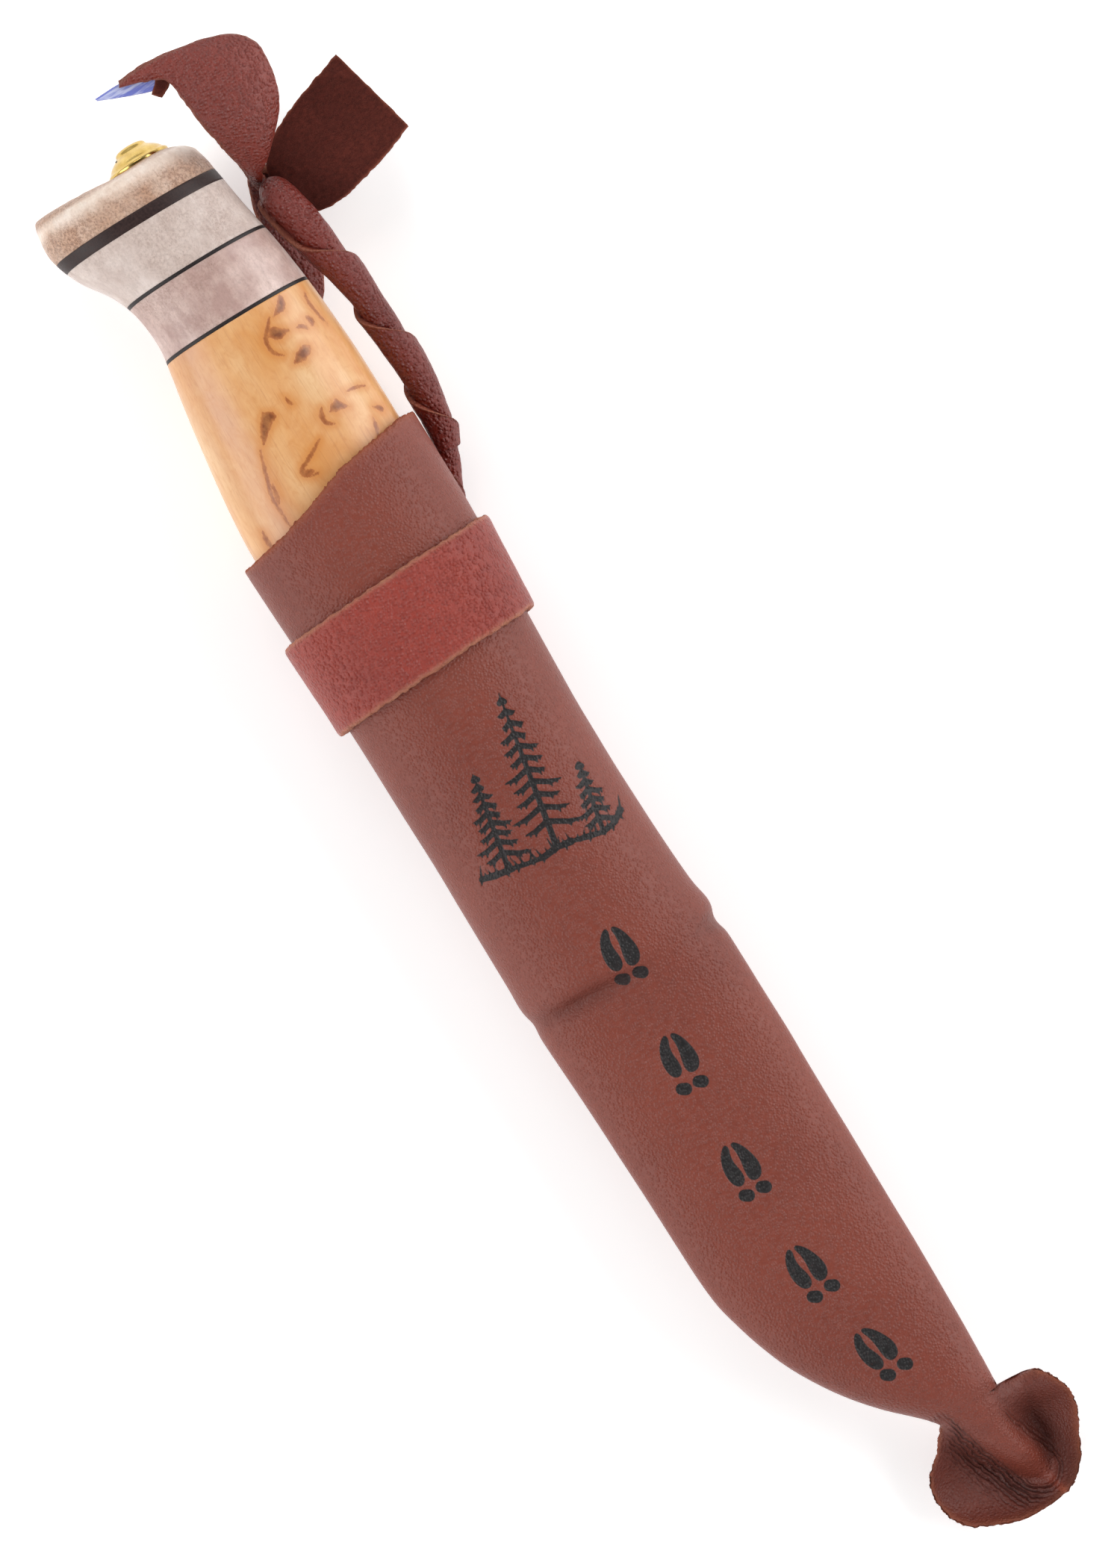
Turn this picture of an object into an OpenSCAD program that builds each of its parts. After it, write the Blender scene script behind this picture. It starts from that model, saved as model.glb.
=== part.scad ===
/* [Handle] */
// Position of the handle's front end along the length
grip_front = 57; // [54:0.5:57]
// Length of the lower antler ring
ring_low_len = 8.6; // [6:0.2:9]
// Length of the upper antler ring
ring_up_len = 8.2; // [6:0.2:9]
// Thickness of the two thin spacers
thin_t = 0.5; // [0.3:0.1:0.8]
// Thickness of the dark spacer under the cap
dark_t = 1.8; // [1:0.1:2.5]
// Diameter of the domed pommel washer
dome_d = 9.4; // [8:0.2:11]
// Height of the domed pommel washer
dome_h = 3.1; // [2.4:0.1:3.6]

/* [Blade] */
// Thickness of the blade at the spine
blade_t = 3.4; // [2.4:0.1:3.4]
// Height of the blade at the handle
blade_h = 20.5; // [18:0.5:21]
// Width of the stick tang where it leaves the blade
tang_w = 8; // [6:0.5:9]
// Thickness of the front bolster plate
bolster_t = 2; // [1:0.5:3]

/* [Sheath] */
// Play between the handle and the leather
play = 0.25; // [0.15:0.05:0.35]
// Width of the throat band
band_w = 14.2; // [10:0.2:16]
// Thickness of the throat band leather
band_t = 1.1; // [0.8:0.1:1.4]
// Pitch of the back seam's stitches
stitch_pitch = 4; // [3:0.5:6]
// Radius of the seam thread
thread_r = 0.4; // [0.3:0.05:0.5]

/* [Hanger] */
// Diameter of the rolled strap
strand_d = 4.5; // [3.8:0.1:4.8]
// Thickness of the strap leather
strap_t = 1.3; // [1:0.1:1.6]
// Thickness of the small clear film
film_t = 0.4; // [0.3:0.1:0.5]

/* [Hidden] */
// The model is drawn from the middle of the throat band and then moved so that
// its origin is the middle of its base. +X runs to the sheath's tip, +Y to the
// spine side where the hanger is, and +Z to the sheath's front.
shift = [-33.55, -12, 0];
// Height of the knife's middle plane above the surface that the sheath lies on
zc = 12;
// Middle of the tang across the handle
tang_y = 3.2;
SEG = 40;

// Handle: lowest and highest edge and half thickness along its length
grip_lo = [[-72, -13], [-70, -13.5], [-67.5, -13.6], [-65, -13], [-62, -11.6], [-59, -9.5], [-56, -8.1], [-53, -7.4], [-49, -7.2], [-45, -7.8], [-40, -8.7], [-32, -9.9], [-25, -10.8], [-18, -11.3], [-5, -11], [10, -10.2], [30, -9.9], [45, -9.7], [57, -9.3]];
grip_hi = [[-72, 10.8], [-70, 11.3], [-66, 12.2], [-60, 13.1], [-54, 14.2], [-48, 15], [-42, 15.5], [-34, 15.9], [-18, 15.9], [-5, 15.4], [10, 14.6], [30, 14.2], [45, 14.1], [57, 13.8]];
grip_hz = [[-72, 8.1], [-70, 8.5], [-66, 8.7], [-58, 8.6], [-49, 8.4], [-40, 8.8], [-30, 9.2], [-18, 9.2], [0, 8.9], [20, 8.5], [40, 8], [57, 7.2]];

// Sheath: lowest and highest edge, half thickness and middle height
sh_lo = [[-24, -13.4], [-8, -13], [10, -12.5], [30, -12.3], [53, -12.4], [72, -11.7], [98, -11.1], [103, -10.7], [107, -9.7], [111, -8.5], [115, -7], [119, -4.9], [123, -2.3], [127, 1], [131, 5], [133.2, 6.8], [135, 5.5], [137, 4], [139, 2], [141, 1], [143.5, 0.8], [146, 1.6], [148, 3], [149.5, 6], [150.6, 9.5], [151, 11.5]];
sh_hi = [[-24, 18], [-8, 17.9], [10, 16.8], [30, 16.2], [47, 16.6], [62, 17.4], [100, 17.2], [120, 17], [132.6, 16.4], [133, 20], [134.5, 22.8], [136.5, 24], [138.6, 24.6], [141, 24.2], [143.6, 23], [147, 21.2], [149.3, 19], [150.6, 16.5], [151, 15]];
sh_hz = [[-24, 11.3], [-8, 11.2], [0, 10.9], [20, 10.5], [40, 10], [55, 9.3], [58, 8.8], [62, 7], [68, 6.2], [90, 5.8], [110, 5.2], [125, 4.6], [131, 4.2], [134, 3.2], [138, 2.6], [145, 2.2], [150, 1.7], [151, 1]];
sh_zc = [[-24, 12], [124, 12], [128, 11.5], [131, 10.8], [134, 9.6], [138, 7.8], [143, 5.2], [148, 2.9], [151, 1.9]];
sh_x = [-24, -20, -14, -8, 0, 10, 20, 30, 40, 48, 54, 56.5, 58, 60, 62, 65, 70, 80, 90, 98, 103, 107, 111, 115, 119, 123, 127, 130, 132.6, 133, 134.5, 136.5, 138.6, 141, 143.5, 146, 148, 149.5, 150.6, 151];
// Pocket for the liner inside the leather
pk_lo = [[58.6, -9.4], [62, -10], [72, -9.9], [98, -9.2], [107, -7.8], [115, -5], [123, -0.2], [127, 3.4], [129.5, 6.4]];
pk_hi = [[58.6, 14], [62, 15], [72, 15.3], [100, 15.3], [120, 15], [126, 14.8], [129.5, 13.5]];
pk_hz = [[58.6, 6.6], [62, 5.2], [68, 4.4], [90, 4], [110, 3.5], [125, 2.9], [129.5, 2.2]];
pk_x = [58.6, 60, 62, 65, 68, 72, 80, 90, 98, 103, 107, 111, 115, 119, 123, 127, 129.5];

// Blade edge curve, from the handle to the tip
edge_lo = [[55, 13 - blade_h], [98, 13.2 - blade_h], [104, 14.2 - blade_h], [110, -4.4], [115, -1.4], [119, 1.8], [123, 5.8], [126, 9.2], [128, 11.6]];
spine_y = [[55, 13], [100, 12.9], [118, 12.6], [128, 11.9]];
blade_x = [57, 70, 85, 98, 104, 110, 115, 119, 123, 126, 128];

// Smooth curve through a table
function idx(x, t, i = 0) = (i >= len(t) - 2 || x < t[i + 1][0]) ? i : idx(x, t, i + 1);
function slope(t, i) = let(a = max(i - 1, 0), b = min(i + 1, len(t) - 1)) (t[b][1] - t[a][1]) / (t[b][0] - t[a][0]);
function smooth(x, t) = let(i = idx(x, t), h = t[i + 1][0] - t[i][0], u = max(0, min(1, (x - t[i][0]) / h)), p = slope(t, i) * h, q = slope(t, i + 1) * h)
    (2 * pow(u, 3) - 3 * u * u + 1) * t[i][1] + (pow(u, 3) - 2 * u * u + u) * p + (3 * u * u - 2 * pow(u, 3)) * t[i + 1][1] + (pow(u, 3) - u * u) * q;

// One ring of an oval section: middle, half height, half thickness, roundness
function sg(v) = v < 0 ? -1 : 1;
function oval(x, ym, hy, zm, hz, n, seg = SEG, lean = 0, zmin = -99) = [for (k = [0:seg - 1]) let(a = 360 * (k + 0.5) / seg, c = cos(a), s = sin(a), y = ym + hy * sg(c) * pow(abs(c), 2 / n), z = zm + hz * sg(s) * pow(abs(s), 2 / n)) [x + lean * (y - 2), y, max(z, zmin)]];

// Skin over a list of rings, closed at both ends
module skin(rings) {
    s = len(rings[0]);
    n = len(rings);
    polyhedron(points = [for (r = rings) each r], faces = concat(
        [[for (k = [0:s - 1]) k]],
        [for (i = [0:n - 2]) for (k = [0:s - 1]) each let(a = i * s + k, b = i * s + (k + 1) % s, c = a + s, d = b + s) [[a, c, b], [b, c, d]]],
        [[for (k = [s - 1:-1:0]) (n - 1) * s + k]]), convexity = 8);
}

// Skin over a closed loop of rings, such as a band
module loop_skin(rings) {
    s = len(rings[0]);
    n = len(rings);
    polyhedron(points = [for (r = rings) each r], faces = [for (i = [0:n - 1]) for (k = [0:s - 1]) each let(j = (i + 1) % n, a = i * s + k, b = i * s + (k + 1) % s, c = j * s + k, d = j * s + (k + 1) % s) [[a, c, b], [b, c, d]]], convexity = 8);
}

// Handle section at one place, pulled in by an amount
function grip_ring(x, pull = 0) = let(lo = smooth(x, grip_lo), hi = smooth(x, grip_hi), hz = smooth(x, grip_hz))
    oval(x, (lo + hi) / 2, (hi - lo) / 2 - pull, zc, hz - pull, 2.2);

// Slice of the handle between two planes
module grip_slice(x0, x1, steps) {
    skin([for (i = [0:steps]) grip_ring(x0 + (x1 - x0) * i / steps)]);
}

// Stick tang, with a clearance around it
module tang(c = 0) {
    translate([0, 0, zc - 1.5 - c]) linear_extrude(3 + 2 * c)
        polygon([[60, tang_y + tang_w / 2 + c], [60, tang_y - tang_w / 2 - c], [-20, tang_y - 3 - c], [-74 - c, tang_y - 2.2 - c], [-74 - c, tang_y + 2.2 + c], [-20, tang_y + 3 + c]]);
}

// Planes of the handle's stack, from the pommel to the blade
cap_x = -72;
dark_x = -66.1;
up_x = dark_x + dark_t;
thin2_x = up_x + ring_up_len;
low_x = thin2_x + thin_t;
thin1_x = low_x + ring_low_len;
birch_x = thin1_x + thin_t;

function blade_ring(x) = let(lo = lookup(x, edge_lo), hi = lookup(x, spine_y), h = hi - lo, t = blade_t / 2 * min(1, 0.35 + 0.65 * (128.5 - x) / 24), b = lo + h * 0.38)
    [[x, hi, zc - t * 0.9], [x, hi, zc + t * 0.9], [x, b, zc + t], [x, lo, zc + 0.08], [x, lo, zc - 0.08], [x, b, zc - t]];

module blade() {
    color([0.72, 0.73, 0.75]) translate(shift) {
        skin([for (x = blade_x) blade_ring(x)]);
        tang();
    }
}

module front_bolster() {
    color([0.80, 0.62, 0.28]) translate(shift) difference() {
        skin([for (x = [grip_front - bolster_t, grip_front - 0.6, grip_front - 0.05]) grip_ring(x, x > grip_front - 0.1 ? 0.6 : 0)]);
        tang(0.05);
    }
}

module birch_grip() {
    color([0.87, 0.68, 0.44]) translate(shift) difference() {
        grip_slice(birch_x, grip_front - bolster_t, 26);
        tang(0.05);
    }
}

module spacer_lower() {
    color([0.10, 0.09, 0.10]) translate(shift) difference() {
        grip_slice(thin1_x, birch_x, 1);
        tang(0.05);
    }
}

module antler_ring_lower() {
    color([0.74, 0.66, 0.63]) translate(shift) difference() {
        grip_slice(low_x, thin1_x, 3);
        tang(0.05);
    }
}

module spacer_upper() {
    color([0.10, 0.09, 0.10]) translate(shift) difference() {
        grip_slice(thin2_x, low_x, 1);
        tang(0.05);
    }
}

module antler_ring_upper() {
    color([0.80, 0.75, 0.72]) translate(shift) difference() {
        grip_slice(up_x, thin2_x, 3);
        tang(0.05);
    }
}

module spacer_dark() {
    color([0.24, 0.18, 0.17]) translate(shift) difference() {
        grip_slice(dark_x, up_x, 1);
        tang(0.05);
    }
}

module antler_cap() {
    color([0.88, 0.81, 0.77]) translate(shift) difference() {
        skin([for (p = [[cap_x, 1.3], [cap_x + 0.3, 0.6], [cap_x + 0.9, 0.1], [-70, 0], [-68, 0], [dark_x, 0]]) grip_ring(p[0], p[1])]);
        tang(0.05);
    }
}

module pommel_washer() {
    r = (pow(dome_d / 2, 2) + dome_h * dome_h) / (2 * dome_h);
    color([0.83, 0.68, 0.30]) translate(shift) difference() {
        translate([cap_x - dome_h + r, tang_y + 0.4, zc]) sphere(r = r, $fn = 64);
        translate([cap_x, tang_y - 20, zc - 20]) cube([40, 40, 40]);
        tang(0.05);
    }
}

// Sheath sections: the mouth leans so that the leather rises on the spine side
function lean(x) = -0.21 * max(0, min(1, (-6 - x) / 14));
function sheath_ring(x, grow = 0, zmin = -99) = let(lo = lookup(x, sh_lo), hi = lookup(x, sh_hi))
    oval(x, (lo + hi) / 2, (hi - lo) / 2 + grow, lookup(x, sh_zc), lookup(x, sh_hz) + grow, 2.3, SEG, lean(x), zmin);
function cavity_ring(x) = let(lo = smooth(x, grip_lo), hi = smooth(x, grip_hi), hz = smooth(x, grip_hz))
    oval(x, (lo + hi) / 2, (hi - lo) / 2 + play, zc, hz + play, 2.2, SEG, lean(x));
function pocket_ring(x, pull = 0) = let(lo = lookup(x, pk_lo), hi = lookup(x, pk_hi))
    oval(x, (lo + hi) / 2, (hi - lo) / 2 - pull, zc, lookup(x, pk_hz) - pull, 2.3);

module sheath_body() {
    mouth = -20.4;
    hollow = [mouth, -14, -8, 0, 10, 20, 30, 40, 48, 54, 57.8];
    color([0.42, 0.22, 0.19]) translate(shift)
        skin(concat(
            [for (i = [len(pk_x) - 1:-1:0]) pocket_ring(pk_x[i])],
            [for (i = [len(hollow) - 1:-1:0]) cavity_ring(hollow[i])],
            [for (x = concat([mouth], [for (v = sh_x) if (v > -19) v])) sheath_ring(x)]));
}

module blade_liner() {
    color([0.30, 0.22, 0.17]) translate(shift) difference() {
        skin([for (x = pk_x) pocket_ring(x == 58.6 ? 58.8 : min(x, 129.3), 0.1)]);
        translate([0, 0, zc - blade_t / 2 - 0.15]) linear_extrude(blade_t + 0.3)
            polygon(concat([[50, 13.3], [50, 12.7 - blade_h], [98, 12.7 - blade_h]], [for (x = [104, 110, 115, 119, 123, 126]) [x, lookup(x, edge_lo) - 0.6]], [[128.4, 11], [128.4, 12.6], [118, 12.9], [100, 13.3]]));
    }
}

// Stitches across the butt seam, down the middle of the back
function seam_y(x) = (lookup(x, sh_lo) + lookup(x, sh_hi)) / 2;
module stitch(x) {
    translate([x, seam_y(x) - 1.6, lookup(x, sh_zc) - lookup(x, sh_hz) + 0.15]) rotate([-90, 0, 0]) cylinder(h = 3.2, r = thread_r, $fn = 16);
}

module seam_thread() {
    color([0.16, 0.11, 0.09]) translate(shift) for (x = [12:stitch_pitch:126]) stitch(x);
}

// Throat band: a closed strap around the sheath with its back cut flat
module strap_band() {
    a = 1.6 - band_w / 2;
    b = 1.6 + band_w / 2;
    function tilt(r) = [for (p = r) [p[0] - 0.042 * (p[1] - 2), p[1], p[2]]];
    color([0.50, 0.24, 0.20]) translate(shift)
        loop_skin([
            tilt([for (p = sheath_ring(a, 0.05)) p]),
            tilt([for (p = sheath_ring(a, band_t, 0)) p]),
            tilt([for (p = sheath_ring(a + 0.4, band_t + 0.35, 0)) p]),
            tilt([for (p = sheath_ring((a + b) / 2, band_t + 0.4, 0)) p]),
            tilt([for (p = sheath_ring(b - 0.4, band_t + 0.35, 0)) p]),
            tilt([for (p = sheath_ring(b, band_t, 0)) p]),
            tilt([for (p = sheath_ring(b, 0.05)) p]),
            tilt([for (p = sheath_ring((a + b) / 2, 0.05)) p])]);
}

// Strap swept along a path. Each point: place, face normal, width, thickness
function unit(v) = v / norm(v);
function cr(a, b, c, d, u) = 0.5 * (2 * b + (c - a) * u + (2 * a - 5 * b + 4 * c - d) * u * u + (3 * b - a - 3 * c + d) * pow(u, 3));
function spread(t, m) = let(n = len(t)) concat([for (i = [0:n - 2]) for (k = [0:m - 1]) let(u = k / m, a = t[max(i - 1, 0)], b = t[i], c = t[i + 1], d = t[min(i + 2, n - 1)])
    [for (j = [0:3]) cr(a[j], b[j], c[j], d[j], u)]], [t[n - 1]]);
function strap_rings(t, seg) = let(n = len(t)) [for (i = [0:n - 1]) let(
        f = unit(t[min(i + 1, n - 1)][0] - t[max(i - 1, 0)][0]),
        w = unit(cross(t[i][1], f)), u = cross(f, w))
    [for (k = [0:seg - 1]) let(a = 360 * k / seg, c = cos(a), s = sin(a), e = 2 / (2 + 1.4 * (1 - min(1, t[i][3] / t[i][2]))))
        t[i][0] + w * (t[i][2] / 2 * sg(c) * pow(abs(c), e)) + u * (t[i][3] / 2 * sg(s) * pow(abs(s), e))]];

// Leg with the rolled strap, from the root over the hook to the suede tail
leg_a = [
    [[-7.6, 15.6, 2.9], [0, 0, 1], 2, 1],
    [[-9, 16, 2.9], [0, 0, 1], 3.6, 1],
    [[-12, 17, 3], [0, 0, 1], 4, 1.6],
    [[-16.4, 18.9, 4.4], [0, 0, 1], 4.2, 3],
    [[-21, 20.6, 6.8], [0, 0, 1], 4.5, strand_d - 0.2],
    [[-26, 21, 8.8], [0, 0, 1], strand_d, strand_d],
    [[-33, 21, 10.5], [0, 0, 1], strand_d, strand_d],
    [[-41, 20.5, 11.6], [0, 0, 1], strand_d - 0.2, strand_d - 0.2],
    [[-48, 19.5, 12.2], [0, 0, 1], strand_d, strand_d],
    [[-54, 18.6, 12.5], [0, 0, 1], 4.6, strand_d],
    [[-57.6, 18.7, 11.8], [-0.5, 0, 1], 4.6, 4],
    [[-59.5, 18.9, 9.4], [-1, 0, 0], 4.8, 3.2],
    [[-59.3, 19.6, 7.3], [-1, 0, -0.6], 6, 2.4],
    [[-59.2, 21.8, 7.4], [0, 0.3, -1], 9, 2],
    [[-60.3, 24.6, 8.9], [0, 0.3, -1], 12.6, strap_t],
    [[-61.9, 29.5, 10.2], [0, 0.1, -1], 14, strap_t],
    [[-64, 36.2, 10.2], [0, -0.1, -1], 14.2, strap_t]];
// Leg that runs flat behind the handle, from the root to the grain tail
leg_b = [
    [[-7.6, 15.4, 1.4], [0, 0, 1], 2, 1],
    [[-9, 15, 1.4], [0, 0, 1], 3.6, 1],
    [[-13, 14.2, 1.3], [0, 0, 1], 5, 1.2],
    [[-19, 13, 1.1], [0, 0, 1], 6, strap_t],
    [[-28, 12.4, 1.1], [0, 0, 1], 6.6, strap_t],
    [[-37, 12.6, 1.2], [0, 0, 1], 6.4, strap_t],
    [[-44, 13.8, 2.2], [0, -0.2, 1], 5.6, 1.6],
    [[-50, 14.6, 3.2], [0, -0.3, 1], 5, 1.8],
    [[-56, 15.2, 3.4], [0, -0.3, 1], 4.6, 1.8],
    [[-61, 16.4, 4.2], [0.3, -0.2, 1], 4.6, 1.8],
    [[-64.6, 18.2, 7.8], [1, 0, 0.8], 4.6, 1.6],
    [[-65.6, 19, 13], [1, 0, 0.4], 5, 1.5],
    [[-67.4, 19.4, 18.6], [1, 0, 0.6], 9.2, strap_t],
    [[-71, 19.7, 22.4], [0.5, 0, 1], 11.8, strap_t],
    [[-75, 19.6, 24.4], [0.2, 0, 1], 12.6, strap_t],
    [[-79, 17.4, 25], [-0.2, 0, 1], 11, strap_t],
    [[-80.6, 13.4, 24.7], [-0.5, 0, 1], 6.5, strap_t],
    [[-80.7, 8.6, 23.5], [-0.5, 0, 1], 3, strap_t]];

module strap_twisted_leg() {
    color([0.47, 0.22, 0.18]) translate(shift) skin(strap_rings(spread(leg_a, 3), 12));
}

module strap_flat_leg() {
    color([0.44, 0.21, 0.18]) translate(shift) skin(strap_rings(spread(leg_b, 3), 12));
}

module tag_film() {
    color([0.50, 0.52, 0.75, 0.6]) translate(shift) translate([-79.6, 9.2, 22.9]) rotate([11, 0, 0])
        linear_extrude(film_t) polygon([[-1.6, -6], [-1, -6.3], [0.4, -4.6], [1.5, -1.5], [1.6, 3.2], [-0.6, 3.4], [-1.8, 0.5], [-2, -3.2]]);
}

blade();
front_bolster();
birch_grip();
spacer_lower();
antler_ring_lower();
spacer_upper();
antler_ring_upper();
spacer_dark();
antler_cap();
pommel_washer();
sheath_body();
blade_liner();
seam_thread();
strap_band();
strap_twisted_leg();
strap_flat_leg();
tag_film();
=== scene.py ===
import math
import bpy
import numpy as np
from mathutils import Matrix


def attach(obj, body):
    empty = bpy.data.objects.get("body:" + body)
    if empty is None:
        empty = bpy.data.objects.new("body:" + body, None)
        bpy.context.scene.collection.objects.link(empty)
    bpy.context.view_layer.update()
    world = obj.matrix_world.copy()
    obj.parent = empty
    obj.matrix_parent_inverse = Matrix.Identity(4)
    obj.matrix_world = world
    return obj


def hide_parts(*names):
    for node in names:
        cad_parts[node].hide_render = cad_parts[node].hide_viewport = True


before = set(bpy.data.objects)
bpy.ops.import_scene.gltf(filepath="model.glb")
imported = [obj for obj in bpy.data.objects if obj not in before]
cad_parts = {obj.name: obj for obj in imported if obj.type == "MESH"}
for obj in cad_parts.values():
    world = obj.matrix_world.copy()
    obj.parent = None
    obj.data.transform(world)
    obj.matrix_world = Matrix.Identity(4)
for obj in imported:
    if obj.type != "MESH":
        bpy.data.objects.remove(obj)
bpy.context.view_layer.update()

SHIFT = np.array([-33.55, -12.0, 0.0])
ZC = 12.0


# ---------------------------------------------------------------- numbers
def lin(x, t):
    t = np.asarray(t, float)
    return np.interp(x, t[:, 0], t[:, 1])


def smooth(x, t):
    t = np.asarray(t, float)
    x = np.asarray(x, float)
    n = len(t)
    s = np.empty(n)
    s[1:-1] = (t[2:, 1] - t[:-2, 1]) / (t[2:, 0] - t[:-2, 0])
    s[0] = (t[1, 1] - t[0, 1]) / (t[1, 0] - t[0, 0])
    s[-1] = (t[-1, 1] - t[-2, 1]) / (t[-1, 0] - t[-2, 0])
    i = np.clip(np.searchsorted(t[:, 0], x, side="right") - 1, 0, n - 2)
    h = t[i + 1, 0] - t[i, 0]
    u = np.clip((x - t[i, 0]) / h, 0, 1)
    return ((2 * u**3 - 3 * u * u + 1) * t[i, 1] + (u**3 - 2 * u * u + u) * s[i] * h
            + (3 * u * u - 2 * u**3) * t[i + 1, 1] + (u**3 - u * u) * s[i + 1] * h)


def step(a, b, x):
    u = np.clip((np.asarray(x, float) - a) / (b - a), 0, 1)
    return u * u * (3 - 2 * u)


def smax(a, b, k):
    h = np.clip(0.5 + 0.5 * (a - b) / k, 0, 1)
    return a * h + b * (1 - h) + k * h * (1 - h)


def smin(a, b, k):
    return -smax(-a, -b, k)


def _hash(i, j, k, seed):
    m = np.uint64(0xFFFFFFFF)
    h = (i.astype(np.uint64) * np.uint64(374761393) + j.astype(np.uint64) * np.uint64(668265263)
         + k.astype(np.uint64) * np.uint64(2246822519) + np.uint64((seed * 3266489917) & 0xFFFFFFFF)) & m
    h = ((h ^ (h >> np.uint64(13))) * np.uint64(1274126177)) & m
    h = h ^ (h >> np.uint64(16))
    return h.astype(float) / 2147483647.5 - 1


def vnoise(P, seed=0):
    P = np.asarray(P, float)
    shape = P.shape[:-1]
    P = P.reshape(-1, 3) + 1000.0
    F = np.floor(P)
    f = P - F
    f = f**3 * (f * (f * 6 - 15) + 10)
    I = F.astype(np.int64)
    out = np.zeros(len(P))
    for a in (0, 1):
        for b in (0, 1):
            for c in (0, 1):
                w = ((f[:, 0] if a else 1 - f[:, 0]) * (f[:, 1] if b else 1 - f[:, 1]) * (f[:, 2] if c else 1 - f[:, 2]))
                out += w * _hash(I[:, 0] + a, I[:, 1] + b, I[:, 2] + c, seed)
    return out.reshape(shape)


def fbm(P, size, octaves=3, seed=0):
    out, amp, tot = 0, 1.0, 0.0
    P = np.asarray(P, float) / size
    for o in range(octaves):
        out = out + amp * vnoise(P, seed + 17 * o)
        tot += amp
        amp *= 0.5
        P = P * 2.03
    return out / tot


def seg_dist(P, A, B, ra=0.0, rb=None):
    """Distance from points (n,2) to a tapered segment."""
    rb = ra if rb is None else rb
    A, B = np.asarray(A, float), np.asarray(B, float)
    d = B - A
    t = np.clip(((P - A) @ d) / max(d @ d, 1e-9), 0, 1)
    q = A + t[:, None] * d
    return np.hypot(P[:, 0] - q[:, 0], P[:, 1] - q[:, 1]) - (ra + (rb - ra) * t)


def line_dist(P, pts):
    d = np.full(len(P), 1e9)
    for a, b in zip(pts[:-1], pts[1:]):
        d = np.minimum(d, seg_dist(P, a, b))
    return d


def poly_sd(P, poly):
    poly = np.asarray(poly, float)
    d = line_dist(P, list(poly) + [poly[0]])
    inside = np.zeros(len(P), bool)
    j = len(poly) - 1
    for i in range(len(poly)):
        yi, yj = poly[i, 1], poly[j, 1]
        hit = ((yi > P[:, 1]) != (yj > P[:, 1]))
        xs = (poly[j, 0] - poly[i, 0]) * (P[:, 1] - yi) / (yj - yi if yj != yi else 1e-9) + poly[i, 0]
        inside ^= hit & (P[:, 0] < xs)
        j = i
    return np.where(inside, -d, d)


def curve(pts, n):
    """Catmull-Rom through points, n samples evenly along its length."""
    p = np.asarray(pts, float)
    e = np.vstack([2 * p[0] - p[1], p, 2 * p[-1] - p[-2]])
    out = []
    for i in range(1, len(e) - 2):
        for u in np.linspace(0, 1, 24, endpoint=False):
            a, b, c, d = e[i - 1], e[i], e[i + 1], e[i + 2]
            out.append(0.5 * (2 * b + (c - a) * u + (2 * a - 5 * b + 4 * c - d) * u * u + (3 * b - a - 3 * c + d) * u**3))
    out.append(p[-1])
    out = np.array(out)
    s = np.concatenate([[0], np.cumsum(np.linalg.norm(np.diff(out[:, :3], axis=0), axis=1))])
    t = np.linspace(0, s[-1], n)
    return np.stack([np.interp(t, s, out[:, k]) for k in range(out.shape[1])], 1)


def even(x, y, n):
    """Values of n at x, interpolated linearly in the table (y, n)."""
    return np.interp(x, y, n)


# ---------------------------------------------------------------- meshes
def quads(nr, nc, wrap=True, base=0):
    i = np.arange(nr - 1)[:, None]
    k = np.arange(nc if wrap else nc - 1)[None, :]
    k2 = (k + 1) % nc
    a = base + i * nc + k
    b = base + i * nc + k2
    c = base + (i + 1) * nc + k2
    d = base + (i + 1) * nc + k
    return np.stack([a, b, c, d], -1).reshape(-1, 4)


def grid_normals(P):
    """Normals of a wrapped grid of rings (rows, columns, 3)."""
    du = np.roll(P, -1, 1) - np.roll(P, 1, 1)
    dv = np.gradient(P, axis=0)
    n = np.cross(du, dv)
    return n / np.maximum(np.linalg.norm(n, axis=-1, keepdims=True), 1e-9)


def make(name, V, F, mat, body, nodes=(), attrs=None):
    V = np.asarray(V, float).reshape(-1, 3)
    faces = []
    for f in F:
        faces += np.asarray(f).tolist()
    # outward faces
    vol = 0.0
    for f in F:
        f = np.asarray(f)
        a = V[f[:, 0]]
        for q in range(1, f.shape[1] - 1):
            vol += np.einsum("ij,ij->", a, np.cross(V[f[:, q]], V[f[:, q + 1]]))
    if vol < 0:
        faces = [f[::-1] for f in faces]
    me = bpy.data.meshes.new(name)
    me.from_pydata(((V + SHIFT) * 0.001).tolist(), [], faces)
    for k, v in (attrs or {}).items():
        at = me.attributes.new(k, "FLOAT", "POINT")
        at.data.foreach_set("value", np.asarray(v, np.float32).ravel())
    me.polygons.foreach_set("use_smooth", np.ones(len(me.polygons), bool))
    me.update()
    me.materials.append(mat)
    ob = bpy.data.objects.new(name, me)
    bpy.context.scene.collection.objects.link(ob)
    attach(ob, body)
    if nodes:
        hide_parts(*nodes)
    return ob


def closed(P):
    """Vertices and faces of rings (rows, columns, 3) closed at both ends."""
    nr, nc, _ = P.shape
    V = P.reshape(-1, 3)
    c0, c1 = P[0].mean(0), P[-1].mean(0)
    V = np.vstack([V, c0, c1])
    k = np.arange(nc)
    k2 = (k + 1) % nc
    a = np.stack([np.full(nc, nr * nc), k2, k], -1)
    b = np.stack([np.full(nc, nr * nc + 1), (nr - 1) * nc + k, (nr - 1) * nc + k2], -1)
    return V, [quads(nr, nc), a, b]


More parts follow.
